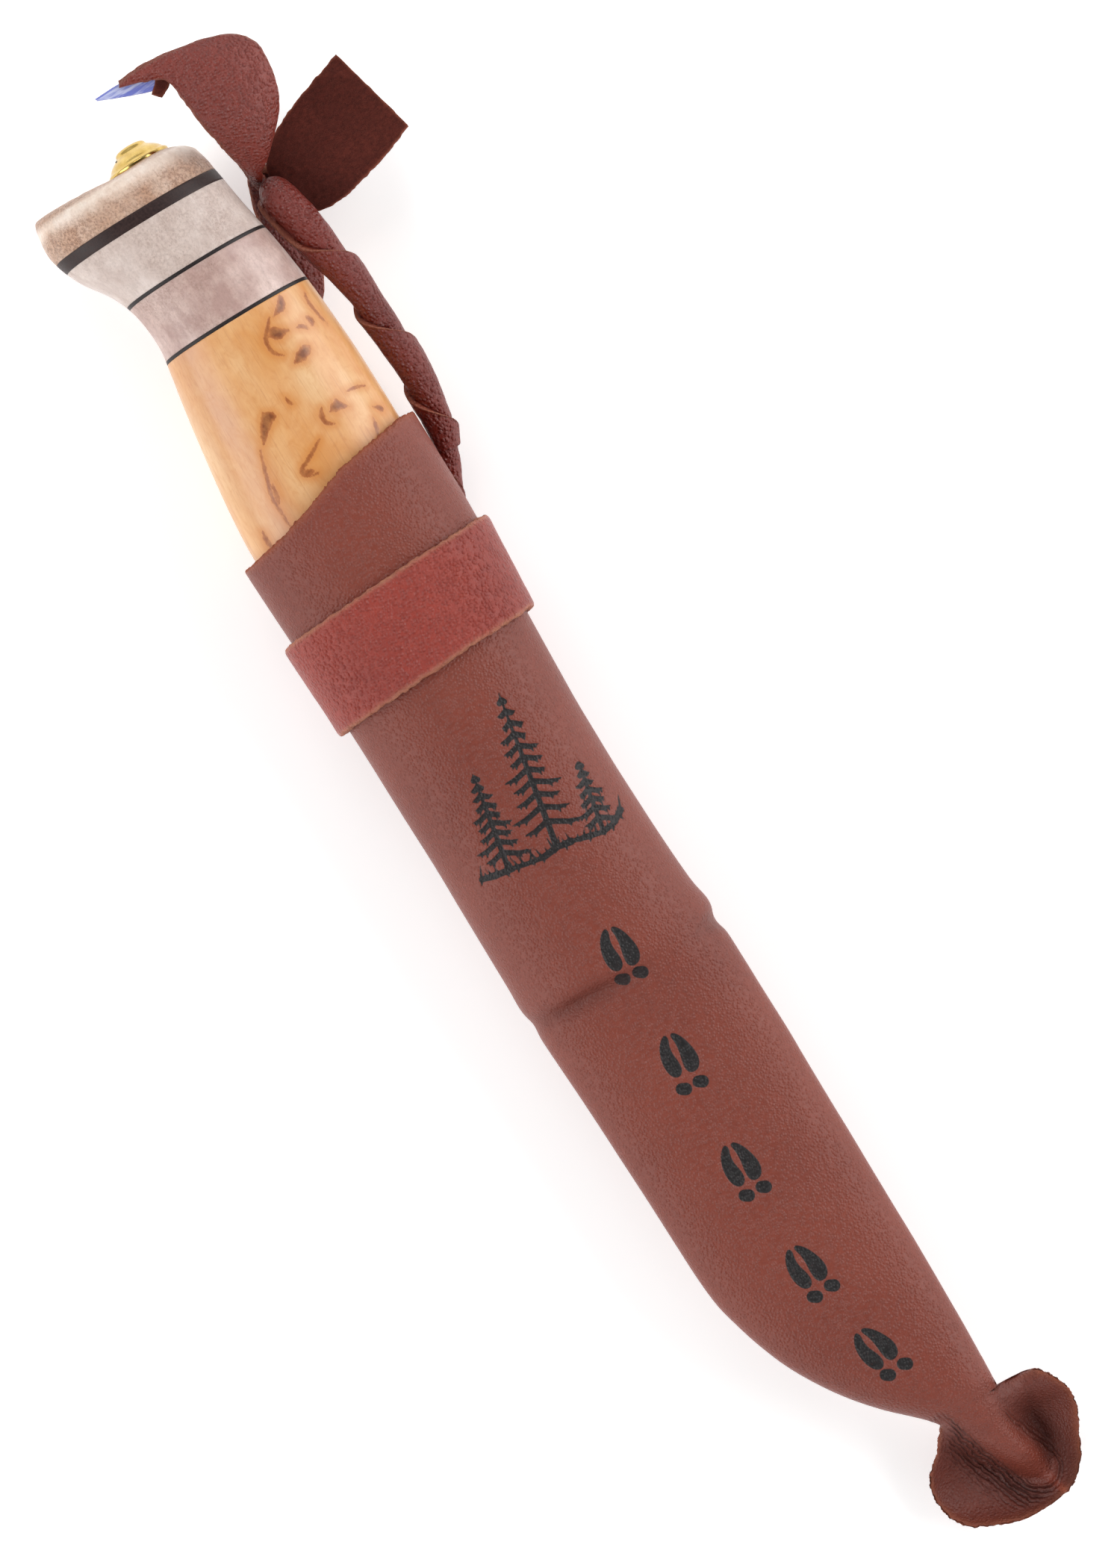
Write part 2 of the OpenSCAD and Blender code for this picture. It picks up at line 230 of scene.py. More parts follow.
# ---------------------------------------------------------------- materials
def C(r, g, b, f=1.0):
    def l(v):
        v = v / 255.0
        return (v / 12.92 if v <= 0.04045 else ((v + 0.055) / 1.055) ** 2.4) * f
    return (l(r), l(g), l(b), 1.0)


class Mat:
    def __init__(s, name):
        s.m = bpy.data.materials.new(name)
        s.m.use_nodes = True
        s.t = s.m.node_tree
        s.t.nodes.clear()
        s.out = s.n("ShaderNodeOutputMaterial")
        s.b = s.n("ShaderNodeBsdfPrincipled")
        s.link(s.b.outputs[0], s.out.inputs[0])
        tc = s.n("ShaderNodeTexCoord")
        s.mm = s.mapping(tc.outputs["Object"], (1000, 1000, 1000))

    def n(s, kind, **kw):
        o = s.t.nodes.new(kind)
        for k, v in kw.items():
            setattr(o, k, v)
        return o

    def link(s, a, b):
        s.t.links.new(a, b)

    def put(s, sock, v):
        if hasattr(v, "is_output"):
            s.link(v, sock)
        else:
            sock.default_value = v

    def set(s, **kw):
        names = dict(color="Base Color", rough="Roughness", metal="Metallic", spec="Specular IOR Level", coat="Coat Weight",
                     coatr="Coat Roughness", sheen="Sheen Weight", sheenr="Sheen Roughness", sheent="Sheen Tint", normal="Normal",
                     coatn="Coat Normal", sss="Subsurface Weight", sssr="Subsurface Radius", ssss="Subsurface Scale", ior="IOR",
                     trans="Transmission Weight", alpha="Alpha", aniso="Anisotropic")
        for k, v in kw.items():
            s.put(s.b.inputs[names[k]], v)

    def mapping(s, vec, scale=(1, 1, 1), loc=(0, 0, 0), rot=(0, 0, 0)):
        o = s.n("ShaderNodeMapping")
        s.link(vec, o.inputs["Vector"])
        o.inputs["Scale"].default_value = scale
        o.inputs["Location"].default_value = loc
        o.inputs["Rotation"].default_value = rot
        return o.outputs[0]

    def noise(s, scale, detail=3, rough=0.5, vec=None, dist=0.0):
        o = s.n("ShaderNodeTexNoise")
        s.link(vec or s.mm, o.inputs["Vector"])
        o.inputs["Scale"].default_value = scale
        o.inputs["Detail"].default_value = detail
        o.inputs["Roughness"].default_value = rough
        o.inputs["Distortion"].default_value = dist
        return o.outputs["Fac"]

    def voro(s, scale, feature="F1", vec=None, rand=1.0):
        o = s.n("ShaderNodeTexVoronoi", feature=feature)
        s.link(vec or s.mm, o.inputs["Vector"])
        o.inputs["Scale"].default_value = scale
        o.inputs["Randomness"].default_value = rand
        return o.outputs["Distance"]

    def math(s, op, a, b=0.0, clamp=False):
        o = s.n("ShaderNodeMath", operation=op, use_clamp=clamp)
        s.put(o.inputs[0], a)
        s.put(o.inputs[1], b)
        return o.outputs[0]

    def range(s, v, a, b, c=0.0, d=1.0, smooth=False):
        o = s.n("ShaderNodeMapRange", interpolation_type="SMOOTHSTEP" if smooth else "LINEAR")
        for k, w in zip(("Value", "From Min", "From Max", "To Min", "To Max"), (v, a, b, c, d)):
            s.put(o.inputs[k], w)
        return o.outputs[0]

    def mix(s, f, a, b, mode="MIX"):
        o = s.n("ShaderNodeMix", data_type="RGBA", blend_type=mode)
        s.put(o.inputs[0], f)
        s.put(o.inputs[6], a)
        s.put(o.inputs[7], b)
        return o.outputs[2]

    def attr(s, name):
        return s.n("ShaderNodeAttribute", attribute_name=name).outputs["Fac"]

    def bump(s, h, dist, normal=None, strength=1.0):
        o = s.n("ShaderNodeBump")
        o.inputs["Strength"].default_value = strength
        o.inputs["Distance"].default_value = dist * 0.001
        s.link(h, o.inputs["Height"])
        if normal is not None:
            s.link(normal, o.inputs["Normal"])
        return o.outputs[0]


def mat_leather(name, base, dark, light, edge, grain, depth, rough, sheen=0.0, ink=False, spec=0.42):
    m = Mat(name)
    big = m.range(m.noise(0.045, 3), 0.35, 0.65)
    mid = m.range(m.noise(0.9, 4, 0.6), 0.3, 0.7)
    col = m.mix(big, C(*dark), C(*base))
    col = m.mix(m.math("MULTIPLY", mid, 0.45), col, C(*light))
    cell = m.voro(grain, "F1")
    pit = m.range(cell, 0.15, 0.62, 1.0, 0.0)
    fine = m.noise(grain * 2.3, 3, 0.6)
    pores = m.range(m.voro(grain * 0.8), 0.0, 0.22, 1.0, 0.0)
    col = m.mix(m.math("MULTIPLY", pores, 0.35), col, C(*dark, 0.6))
    col = m.mix(m.range(m.noise(4.5, 2, 0.6), 0.35, 0.7, 0.0, 0.4), col, C(*dark, 0.82))
    e = m.attr("edge")
    fib = m.range(m.noise(5.0, 2, 0.7, m.mapping(m.mm, (1.0, 1.0, 0.4))), 0.3, 0.7, 0.55, 1.2)
    rawc = m.mix(fib, C(*edge, 0.65), C(*edge))
    col = m.mix(e, col, rawc)
    h = m.math("ADD", m.math("MULTIPLY", pit, 0.7), m.math("MULTIPLY", fine, 0.5))
    h = m.math("ADD", h, m.math("MULTIPLY", m.math("MULTIPLY", e, fib), 1.6))
    r = m.range(fine, 0.3, 0.7, rough - 0.05, rough + 0.08)
    r = m.math("MAXIMUM", r, m.math("MULTIPLY", e, 0.95))
    if ink:
        # print on the front; on the flared tip, wrinkles whose troughs get painted shade
        ph = m.math("ADD", m.math("MULTIPLY", m.attr("rip"), 10.5), m.math("MULTIPLY", m.noise(0.55, 3, 0.55, m.mapping(m.mm, (1.0, 1.0, 0.2))), 13.0))
        wv = m.math("POWER", m.range(m.math("SINE", ph), -1.0, 1.0), 0.6)
        wr = m.math("MULTIPLY", wv, m.attr("wrk"))
        h = m.math("ADD", h, m.math("MULTIPLY", wr, 4.2))
        # painted shade: the wrinkle troughs (wrk less the ridges wr) are darkened towards C(58, 26, 22)
        col = m.mix(m.math("MULTIPLY", m.math("SUBTRACT", m.attr("wrk"), wr), 0.45), col, C(58, 26, 22))
        k = m.range(m.attr("ink"), -0.05, 0.07, 1.0, 0.0, True)
        wear = m.range(m.noise(2.2, 4, 0.65), 0.28, 0.40)
        k2 = m.math("MULTIPLY", k, m.range(wear, 0, 1, 0.86, 1.0))
        inkc = m.mix(m.range(m.noise(1.3, 3), 0.35, 0.65), C(9, 6, 7), C(22, 16, 18))
        col = m.mix(k2, col, inkc)
        r = m.range(k, 0.0, 1.0, r, 0.45)
        m.set(rough=r)
    col = m.mix(m.math("MULTIPLY", m.attr("shade"), 0.8), col, m.mix(mid, C(62, 30, 26), C(78, 40, 34)))
    r = m.math("ADD", r, m.math("MULTIPLY", m.attr("shade"), 0.18))
    m.set(color=col, rough=r, spec=spec, normal=m.bump(h, depth))
    if sheen:
        m.set(sheen=sheen, sheenr=0.5, sheent=C(200, 120, 105))
    return m.m


leather = mat_leather("sheath_leather", (126, 57, 42), (114, 50, 37), (139, 66, 50), (160, 84, 54), 2.4, 0.12, 0.39, ink=True)
strap = mat_leather("band_leather", (150, 47, 32), (126, 35, 23), (167, 61, 43), (206, 136, 106), 1.7, 0.30, 0.33, spec=0.5)
tail_mat = mat_leather("tail_leather", (124, 35, 19), (104, 27, 15), (144, 49, 30), (150, 78, 56), 1.8, 0.32, 0.30, spec=0.6)
strand_mat = mat_leather("strand_leather", (116, 29, 15), (95, 22, 11), (132, 39, 23), (188, 112, 86), 1.8, 0.32, 0.32, spec=0.6)


def mat_suede():
    m = Mat("suede_side")
    fl = m.noise(2.6, 5, 0.75, m.mapping(m.mm, (1.0, 0.55, 1.0), rot=(0, 0, 0.6)))
    fine = m.noise(9.0, 3, 0.8)
    big = m.range(m.noise(0.16, 3), 0.35, 0.65)
    col = m.mix(big, C(90, 34, 28), C(108, 45, 36))
    col = m.mix(m.range(fl, 0.38, 0.68), C(58, 20, 17), col)
    col = m.mix(m.math("MULTIPLY", m.range(fine, 0.5, 0.78), 0.8), col, C(138, 72, 58))
    col = m.mix(m.attr("edge"), col, C(150, 82, 62))
    h = m.math("ADD", m.math("MULTIPLY", fl, 1.0), m.math("MULTIPLY", fine, 0.8))
    m.set(color=col, rough=0.95, spec=0.15, sheen=0.35, sheenr=0.6, sheent=C(190, 110, 95), normal=m.bump(h, 0.35))
    return m.m


def mat_birch():
    m = Mat("curly_birch")
    along = m.mapping(m.mm, (0.07, 1.0, 1.0))
    grain = m.noise(2.2, 4, 0.6, along)
    flame = m.range(m.noise(0.20, 4, 0.55, m.mapping(m.mm, (0.7, 1.0, 1.0)), 1.6), 0.34, 0.66)
    col = m.mix(flame, C(224, 172, 118), C(214, 152, 94))
    col = m.mix(m.attr("pale"), col, C(230, 192, 145))
    col = m.mix(m.math("MULTIPLY", m.attr("warm"), 0.75), col, C(208, 144, 78))
    col = m.mix(m.attr("pink"), col, C(204, 152, 118))
    curl = m.range(m.noise(0.55, 4, 0.6, m.mapping(m.mm, (0.5, 1.0, 1.0)), 2.4), 0.5, 0.72)
    col = m.mix(m.math("MULTIPLY", curl, 0.4), col, C(202, 134, 74))
    col = m.mix(m.range(grain, 0.45, 0.75, 0.0, 0.2), col, C(190, 126, 78))
    lines = m.range(m.noise(5.5, 2, 0.5, m.mapping(m.mm, (0.02, 1.0, 1.0))), 0.58, 0.68)
    col = m.mix(m.math("MULTIPLY", lines, 0.22), col, C(172, 104, 62))
    # brown figure: a distance in mm, cut off crisply with fibrous edges
    fib = m.noise(3.4, 3, 0.65, m.mapping(m.mm, (0.45, 1.0, 1.0)))
    dn = m.math("ADD", m.attr("fig"), m.math("MULTIPLY", m.math("SUBTRACT", fib, 0.5), 0.55))
    core = m.range(dn, -0.02, 0.16, 1.0, 0.0, True)
    wash = m.range(dn, 0.0, 1.3, 1.0, 0.0, True)
    fade = m.range(m.noise(0.8, 3, 0.6), 0.3, 0.55, 0.62, 1.0)
    tone = m.mix(m.range(dn, -0.42, 0.08), C(118, 60, 30), C(176, 104, 54))
    col = m.mix(m.math("MULTIPLY", wash, 0.6), col, C(202, 128, 60))
    col = m.mix(m.math("MULTIPLY", m.math("MULTIPLY", core, fade), 0.95), col, tone)
    h = m.math("ADD", m.math("MULTIPLY", grain, 0.5), m.math("MULTIPLY", core, -0.4))
    m.set(color=col, rough=m.range(grain, 0.3, 0.7, 0.34, 0.44), spec=0.5, coat=0.3, coatr=0.16, normal=m.bump(h, 0.04))
    return m.m


def mat_antler(name, base, light, dark, pore, amount):
    m = Mat(name)
    cloud = m.range(m.noise(0.22, 4, 0.6), 0.33, 0.67)
    col = m.mix(cloud, C(*base), C(*light))
    streak = m.noise(1.1, 4, 0.7, m.mapping(m.mm, (0.35, 1.0, 1.0)))
    col = m.mix(m.range(streak, 0.42, 0.75, 0.0, 0.55), col, C(*dark))
    pv = m.voro(3.0, "F1", m.mapping(m.mm, (0.7, 1.0, 1.0)))
    pores = m.math("MULTIPLY", m.range(pv, 0.08, 0.5, 1.0, 0.0), m.range(m.noise(0.8, 3), 0.4, 0.6))
    zone = m.attr("pores")
    grit = m.range(m.noise(2.6, 4, 0.75), 0.46, 0.62)
    pk = m.math("MULTIPLY", m.math("MAXIMUM", pores, m.math("MULTIPLY", grit, 0.75)), zone, True)
    col = m.mix(m.math("MULTIPLY", zone, amount), col, C(*pore))
    col = m.mix(m.math("MULTIPLY", pk, 0.9), col, C(112, 74, 54))
    h = m.math("ADD", m.math("MULTIPLY", pk, -1.0), m.math("MULTIPLY", streak, 0.25))
    speck = m.range(m.noise(3.2, 3, 0.7, m.mapping(m.mm, (0.8, 1.0, 1.0))), 0.52, 0.72)
    col = m.mix(m.math("MULTIPLY", speck, 0.3), col, C(*dark, 0.7))
    m.set(color=col, rough=m.range(streak, 0.3, 0.7, 0.28, 0.42), spec=0.5, normal=m.bump(h, 0.07), sss=0.12, ssss=0.0015, sssr=(1.0, 0.7, 0.5))
    return m.m


def mat_spacer(name, col, light):
    m = Mat(name)
    k = m.range(m.noise(3.0, 3), 0.35, 0.7)
    m.set(color=m.mix(k, C(*col), C(*light)), rough=m.range(k, 0, 1, 0.4, 0.55), spec=0.35, normal=m.bump(m.noise(7.0, 2), 0.03))
    return m.m


def mat_brass():
    m = Mat("brass")
    k = m.noise(0.9, 4, 0.6)
    scratch = m.noise(3.0, 2, 0.5, m.mapping(m.mm, (1.0, 6.0, 1.0), rot=(0.5, 0, 0)))
    m.set(color=m.mix(m.range(k, 0.35, 0.65), C(216, 186, 114), C(198, 164, 90)), metal=1.0,
          rough=m.range(scratch, 0.3, 0.7, 0.12, 0.2), normal=m.bump(scratch, 0.004))
    return m.m


def mat_steel():
    m = Mat("blade_steel")
    br = m.noise(6.0, 3, 0.6, m.mapping(m.mm, (3.0, 0.12, 0.6)))
    k = m.range(m.noise(0.2, 3), 0.35, 0.65)
    m.set(color=m.mix(k, C(150, 153, 158), C(128, 131, 137)), metal=1.0, rough=m.range(br, 0.3, 0.7, 0.22, 0.36), normal=m.bump(br, 0.012), aniso=0.3)
    return m.m


def mat_liner():
    m = Mat("liner_wood")
    g = m.noise(2.0, 4, 0.6, m.mapping(m.mm, (0.06, 1.0, 1.0)))
    m.set(color=m.mix(m.range(g, 0.35, 0.65), C(92, 68, 50), C(70, 48, 36)), rough=0.75, normal=m.bump(g, 0.08))
    return m.m


def mat_thread():
    m = Mat("waxed_thread")
    w = m.n("ShaderNodeTexWave", wave_type="BANDS", bands_direction="DIAGONAL")
    m.link(m.mm, w.inputs["Vector"])
    w.inputs["Scale"].default_value = 1.1
    m.set(color=m.mix(w.outputs["Fac"], C(40, 28, 22), C(66, 46, 36)), rough=0.6, normal=m.bump(w.outputs["Fac"], 0.1))
    return m.m


def mat_film():
    m = Mat("clear_film")
    k = m.noise(1.2, 3, 0.6, m.mapping(m.mm, (2.2, 0.22, 1.0), rot=(0, 0, 0.12)))
    m.set(color=m.mix(m.range(k, 0.4, 0.6), C(112, 122, 204), C(196, 202, 236)), rough=0.18, spec=0.6, alpha=0.86, normal=m.bump(k, 0.06))
    return m.m


birch = mat_birch()
antler_low = mat_antler("antler_pink", (182, 151, 143), (218, 193, 184), (158, 130, 122), (166, 130, 114), 0.45)
antler_up = mat_antler("antler_grey", (202, 184, 176), (222, 208, 200), (178, 158, 150), (182, 152, 136), 0.5)
antler_top = mat_antler("antler_cap", (228, 206, 188), (241, 228, 216), (204, 174, 154), (186, 140, 110), 0.9)
black = mat_spacer("black_spacer", (26, 19, 20), (42, 33, 32))
dark = mat_spacer("dark_spacer", (38, 23, 22), (54, 35, 32))
brass, steel, liner, thread, film = mat_brass(), mat_steel(), mat_liner(), mat_thread(), mat_film()
suede = mat_suede()

# ---------------------------------------------------------------- camera, lights, floor
sc = bpy.context.scene
cam = bpy.data.cameras.new("camera")
cam.sensor_width = 36
cam.lens = 167.1
co = bpy.data.objects.new("camera", cam)
co.location = (-0.00289, -0.00362, 1.012)
co.rotation_euler = (0, 0, math.radians(58.46))
sc.collection.objects.link(co)
sc.camera = co
cam.clip_start, cam.clip_end = 0.05, 20


def area(name, loc, target, size, power, sy=None):
    l = bpy.data.lights.new(name, "AREA")
    l.shape = "RECTANGLE"
    l.size, l.size_y = size, sy or size
    l.energy = power
    o = bpy.data.objects.new(name, l)
    o.location = loc
    d = np.array(target, float) - np.array(loc, float)
    from mathutils import Vector
    o.rotation_mode = "QUATERNION"
    o.rotation_quaternion = Vector(d.tolist()).to_track_quat("-Z", "Y")
    sc.collection.objects.link(o)


area("soft_right", (0.10, 0.90, 0.62), (0, 0, 0), 1.3, 9.5, 0.75)
area("soft_left", (-0.05, -0.90, 0.62), (0, 0, 0), 1.3, 7.5, 0.75)
area("soft_top", (-0.95, 0.05, 1.0), (0, 0, 0), 0.6, 2.0)
w = bpy.data.worlds.new("studio")
w.use_nodes = True
w.node_tree.nodes["Background"].inputs[0].default_value = (1, 1, 1, 1)
nt = w.node_tree
geo = nt.nodes.new("ShaderNodeTexCoord")
sep = nt.nodes.new("ShaderNodeSeparateXYZ")
nt.links.new(geo.outputs["Generated"], sep.inputs[0])
mr = nt.nodes.new("ShaderNodeMapRange")
mr.interpolation_type = "SMOOTHSTEP"
for k, v in (("From Min", 0.97), ("From Max", 0.60), ("To Min", 0.10), ("To Max", 0.66)):
    mr.inputs[k].default_value = v
nt.links.new(sep.outputs["Z"], mr.inputs["Value"])
nt.links.new(mr.outputs[0], nt.nodes["Background"].inputs[1])
sc.world = w
sc.view_settings.view_transform = "Standard"
sc.view_settings.look = "None"

fm = Mat("studio_floor")
fm.set(color=fm.mix(fm.noise(0.02, 2), C(250, 250, 250), C(253, 253, 253)), rough=0.9, spec=0.1)
fm.b.inputs["Emission Color"].default_value = (1, 1, 1, 1)
fm.b.inputs["Emission Strength"].default_value = 0.3
me = bpy.data.meshes.new("floor")
me.from_pydata([(-3, -3, -0.0002), (3, -3, -0.0002), (3, 3, -0.0002), (-3, 3, -0.0002)], [], [(0, 1, 2, 3)])
me.materials.append(fm.m)
fl = bpy.data.objects.new("floor", me)
sc.collection.objects.link(fl)

# ---------------------------------------------------------------- handle
GLO = [[-72, -13], [-70, -13.5], [-67.5, -13.6], [-65, -13], [-62, -11.6], [-59, -9.5], [-56, -8.1], [-53, -7.4], [-49, -7.2], [-45, -7.8], [-40, -8.7], [-32, -9.9], [-25, -10.8], [-18, -11.3], [-5, -11], [10, -10.2], [30, -9.9], [45, -9.7], [57, -9.3]]
GHI = [[-72, 10.8], [-70, 11.3], [-66, 12.2], [-60, 13.1], [-54, 14.2], [-48, 15], [-42, 15.5], [-34, 15.9], [-18, 15.9], [-5, 15.4], [10, 14.6], [30, 14.2], [45, 14.1], [57, 13.8]]
GHZ = [[-72, 8.1], [-70, 8.5], [-66, 8.7], [-58, 8.6], [-49, 8.4], [-40, 8.8], [-30, 9.2], [-18, 9.2], [0, 8.9], [20, 8.5], [40, 8], [57, 7.2]]


def oval(X, a, ym, hy, zm, hz, n):
    c, s = np.cos(a), np.sin(a)
    y = ym[:, None] + hy[:, None] * np.sign(c) * np.abs(c) ** (2 / n)
    z = zm[:, None] + hz[:, None] * np.sign(s) * np.abs(s) ** (2 / n)
    return np.stack([np.broadcast_to(X[:, None], y.shape), y, z], -1)


def grip(X, pull, a):
    X = np.asarray(X, float)
    lo, hi, hz = smooth(X, GLO), smooth(X, GHI), smooth(X, GHZ)
    return oval(X, a, (lo + hi) / 2, (hi - lo) / 2 - pull, np.full(len(X), ZC), hz - pull, 2.2)


def handle_piece(name, x0, x1, dx, nc, mat, ch=0.07, edge0=None, fn=None, wave=0.0, seed=1):
    a = (np.arange(nc) + 0.5) / nc * 2 * np.pi
    body = np.linspace(x0 + ch, x1 - ch, max(2, int(round((x1 - x0) / dx)) + 1))
    X = np.concatenate([[x0], [x0 + ch * 0.3], body, [x1 - ch * 0.3], [x1]])
    pull = np.concatenate([[ch], [ch * 0.35], np.zeros(len(body)), [ch * 0.35], [ch]])
    if edge0:
        e = np.array(edge0)
        keep = body > e[-1, 0] + 0.05
        X = np.concatenate([e[:, 0], body[keep], [x1 - ch * 0.3], [x1]])
        pull = np.concatenate([e[:, 1], np.zeros(keep.sum()), [ch * 0.35], [ch]])
    P = grip(X, pull, a)
    if wave:
        N = grid_normals(P)
        P = P + N * (wave * fbm(P, 6.0, 2, seed))[..., None]
        P[..., 0] = X[:, None]
    V, F = closed(P)
    at = fn(V) if fn else {}
    return make(name, V, F, mat, "knife", (name,), at), P


def pores_of(x0, x1, amp, seed):
    def f(V):
        u = (V[:, 0] - x0) / (x1 - x0)
        z = np.clip(amp * (0.35 + 0.9 * fbm(V, 5.0, 3, seed)), 0, 1)
        return {"pores": z}
    return f


# brown burl figure of the birch: lines with a half width, and closed patches
FIG = [
    ([(-44.2, 7.8), (-43.0, 6.8), (-41.8, 5.9), (-40.6, 5.6), (-39.5, 6.0), (-38.8, 6.8)], 0.16),
    ([(-41.2, 10.4), (-40.9, 11.2), (-40.3, 11.6)], 0.15),
    ([(-41.8, 12.2), (-41.0, 12.6), (-40.3, 12.4)], 0.16),
    ([(-46.4, 14.3), (-44.9, 13.9), (-43.6, 13.5), (-41.9, 13.7), (-39.9, 14.2), (-38.0, 14.8)], 0.10),
    ([(-44.5, 15.1), (-41.2, 15.2), (-37.8, 15.3), (-34.7, 15.3), (-31.7, 15.4)], 0.12),
    ([(-30.5, 15.4), (-27.6, 15.5), (-24.2, 15.7)], 0.11),
    ([(-30.0, 7.4), (-29.0, 6.9), (-27.9, 7.0), (-27.2, 7.8)], 0.17),
    ([(-26.5, 5.0), (-25.8, 3.9), (-24.9, 2.2), (-24.4, 1.1), (-23.7, 0.6), (-22.9, 1.4), (-22.6, 2.4)], 0.17),
    ([(-29.4, -2.6), (-27.5, -3.3), (-25.3, -4.0), (-22.8, -4.6), (-20.7, -4.6), (-18.3, -4.5)], 0.13),
    ([(-24.7, -3.6), (-23.1, -3.9), (-21.9, -4.2)], 0.12),
    ([(-25.2, 12.8), (-23.9, 12.4), (-22.4, 11.9)], 0.13),
    ([(-20.0, -8.2), (-18.4, -8.4), (-17.0, -8.4)], 0.15),
    ([(-33.7, 4.1), (-32.9, 4.2), (-32.3, 4.5)], 0.12),
    ([(-30.3, 11.6), (-30.1, 12.9), (-29.7, 14.1)], 0.10),
    ([(-46.5, -7.6), (-45.6, -7.6)], 0.12),
    ([(-32.2, 15.4), (-31.8, 15.5)], 0.30),
]
PATCH = [
    [(-33.7, 0.3), (-32.9, 1.5), (-32.1, 1.6), (-31.7, 0.6), (-31.0, -0.3), (-30.1, -1.2), (-29.7, -1.9), (-30.8, -1.5), (-32.1, -0.9), (-33.1, -0.2)],
    [(-37.0, 7.4), (-38.1, 8.4), (-38.7, 9.8), (-38.1, 10.6), (-37.3, 10.3), (-36.8, 9.2), (-36.8, 8.2)],
    [(-42.9, 7.0), (-42.8, 7.7), (-42.1, 8.5), (-41.3, 9.5), (-41.2, 8.5), (-40.9, 7.8), (-41.3, 7.0), (-42.0, 6.5)],
    [(-46.2, 10.6), (-45.7, 10.9), (-44.7, 10.7), (-44.1, 10.1), (-44.0, 9.0), (-44.0, 8.4), (-44.8, 9.3)],
    [(-30.0, 9.8), (-29.4, 10.1), (-28.3, 10.8), (-28.5, 10.0), (-28.5, 8.9), (-29.0, 8.2), (-29.7, 8.8)],
    [(-23.9, 1.2), (-23.4, 2.1), (-23.1, 2.1), (-23.2, 1.2), (-23.5, 0.8)],
    [(-26.6, 13.6), (-26.4, 14.7), (-25.4, 15.2), (-25.5, 14.2)],
]
WARM = [(-25, 3.5, 3.6, 1.8, 0.45), (-40.5, 5, 4.5, 2.6, 0.75), (-45, -4, 2.6, 2.2, 0.55), (-28.5, 9, 2.6, 2.4, 0.85), (-34, 0.5, 4.0, 1.6, 0.6), (-21, 8, 2.6, 3.0, 0.2), (-37.5, 9, 1.8, 1.8, 0.9)]
PALE = [(-34, 8, 6, 2.2, 0.8), (-22.5, -0.5, 4.5, 1.6, 0.6), (-43, 12.5, 3, 1.6, 0.6), (-30, 12.6, 4, 1.4, 0.7), (-36, -9.4, 12, 1.6, 0.9), (-40, 1.2, 5, 1.2, 0.4)]


def taper_dist(P, pts, wd):
    """Distance to a line, less a half width that tapers towards both ends."""
    p = curve([(x, y, 0) for x, y in pts], 26)[:, :2]
    best = np.full(len(P), 9.0)
    for i in range(len(p) - 1):
        t0 = (i + 0.5) / (len(p) - 1)
        best = np.minimum(best, seg_dist(P, p[i], p[i + 1]) - wd * (0.55 + 1.15 * math.sin(math.pi * t0)))
    return best


def birch_attrs(V):
    q = np.stack([V[:, 0], V[:, 1]], -1)
    warp = np.stack([fbm(V, 1.5, 2, 5), fbm(V, 1.5, 2, 9)], -1) * 0.12
    qf = q + warp
    front = V[:, 2] > ZC - 3
    f = np.full(len(V), 3.0)
    near = (V[:, 0] < -14) & front
    qn, fn = qf[near], f[near]
    for pts, wd in FIG:
        fn = np.minimum(fn, taper_dist(qn, pts, wd))
    for poly in PATCH:
        fn = np.minimum(fn, poly_sd(qn, poly))
    f[near] = fn + 2.5 * step(5.0, 2.2, V[near, 2] - ZC)
    # figure under the leather and on the back, in the same manner
    rng = np.random.default_rng(11)
    side = ~near
    yc = V[:, 1] - 3.0
    qs = np.stack([V[:, 0], np.arctan2(V[:, 2] - ZC, yc) * 11.0], -1)[side] + warp[side]
    fs = f[side]
    for _ in range(64):
        x, y = rng.uniform(-46, 52), rng.uniform(-33, 33)
        h, l = rng.uniform(-0.9, 0.9), rng.uniform(0.8, 2.6)
        bend = rng.uniform(-1.1, 1.1)
        pts = [(x + t * l * math.cos(h + bend * t), y + t * l * math.sin(h + bend * t)) for t in np.linspace(-1, 1, 5)]
        fs = np.minimum(fs, taper_dist(qs, pts, rng.uniform(0.10, 0.30)))
        if rng.random() < 0.4:
            ex, ey, r0 = x + rng.uniform(-1.5, 1.5), y + rng.uniform(-1.5, 1.5), rng.uniform(0.25, 0.6)
            fs = np.minimum(fs, np.hypot((qs[:, 0] - ex) * 0.6, qs[:, 1] - ey) - r0)
    f[side] = fs
    halo = np.exp(-(np.maximum(f, 0) / 1.3) ** 1.5)

    def blobs(B):
        o = np.zeros(len(V))
        for x, y, sx, sy, k in B:
            o = np.maximum(o, k * np.exp(-((qf[:, 0] - x) / sx) ** 2 - ((qf[:, 1] - y) / sy) ** 2))
        return o
    cloud = np.clip(0.5 + 1.2 * fbm(V * np.array([0.6, 1, 1]), 3.6, 3, 21), 0, 1)
    warm = np.clip(np.where(near, blobs(WARM), 0.5 * cloud) * (0.45 + 0.7 * cloud) + 0.10 * cloud + 0.28 * halo * (0.5 + 0.6 * cloud), 0, 0.9)
    pink = np.exp(-((V[:, 1] + 4.9 + 0.03 * (V[:, 0] + 30)) / 2.2) ** 2) * (0.35 + 0.4 * cloud)
    pink = np.clip(np.maximum(pink, 0.3 * np.exp(-((V[:, 1] + 7.8) / 1.1) ** 2)), 0, 0.7)
    pale = np.clip(np.where(near, blobs(PALE), 0.4 * (1 - cloud)), 0, 0.8)
    return {"fig": np.clip(f, -2, 3), "warm": warm, "pink": pink, "pale": pale}


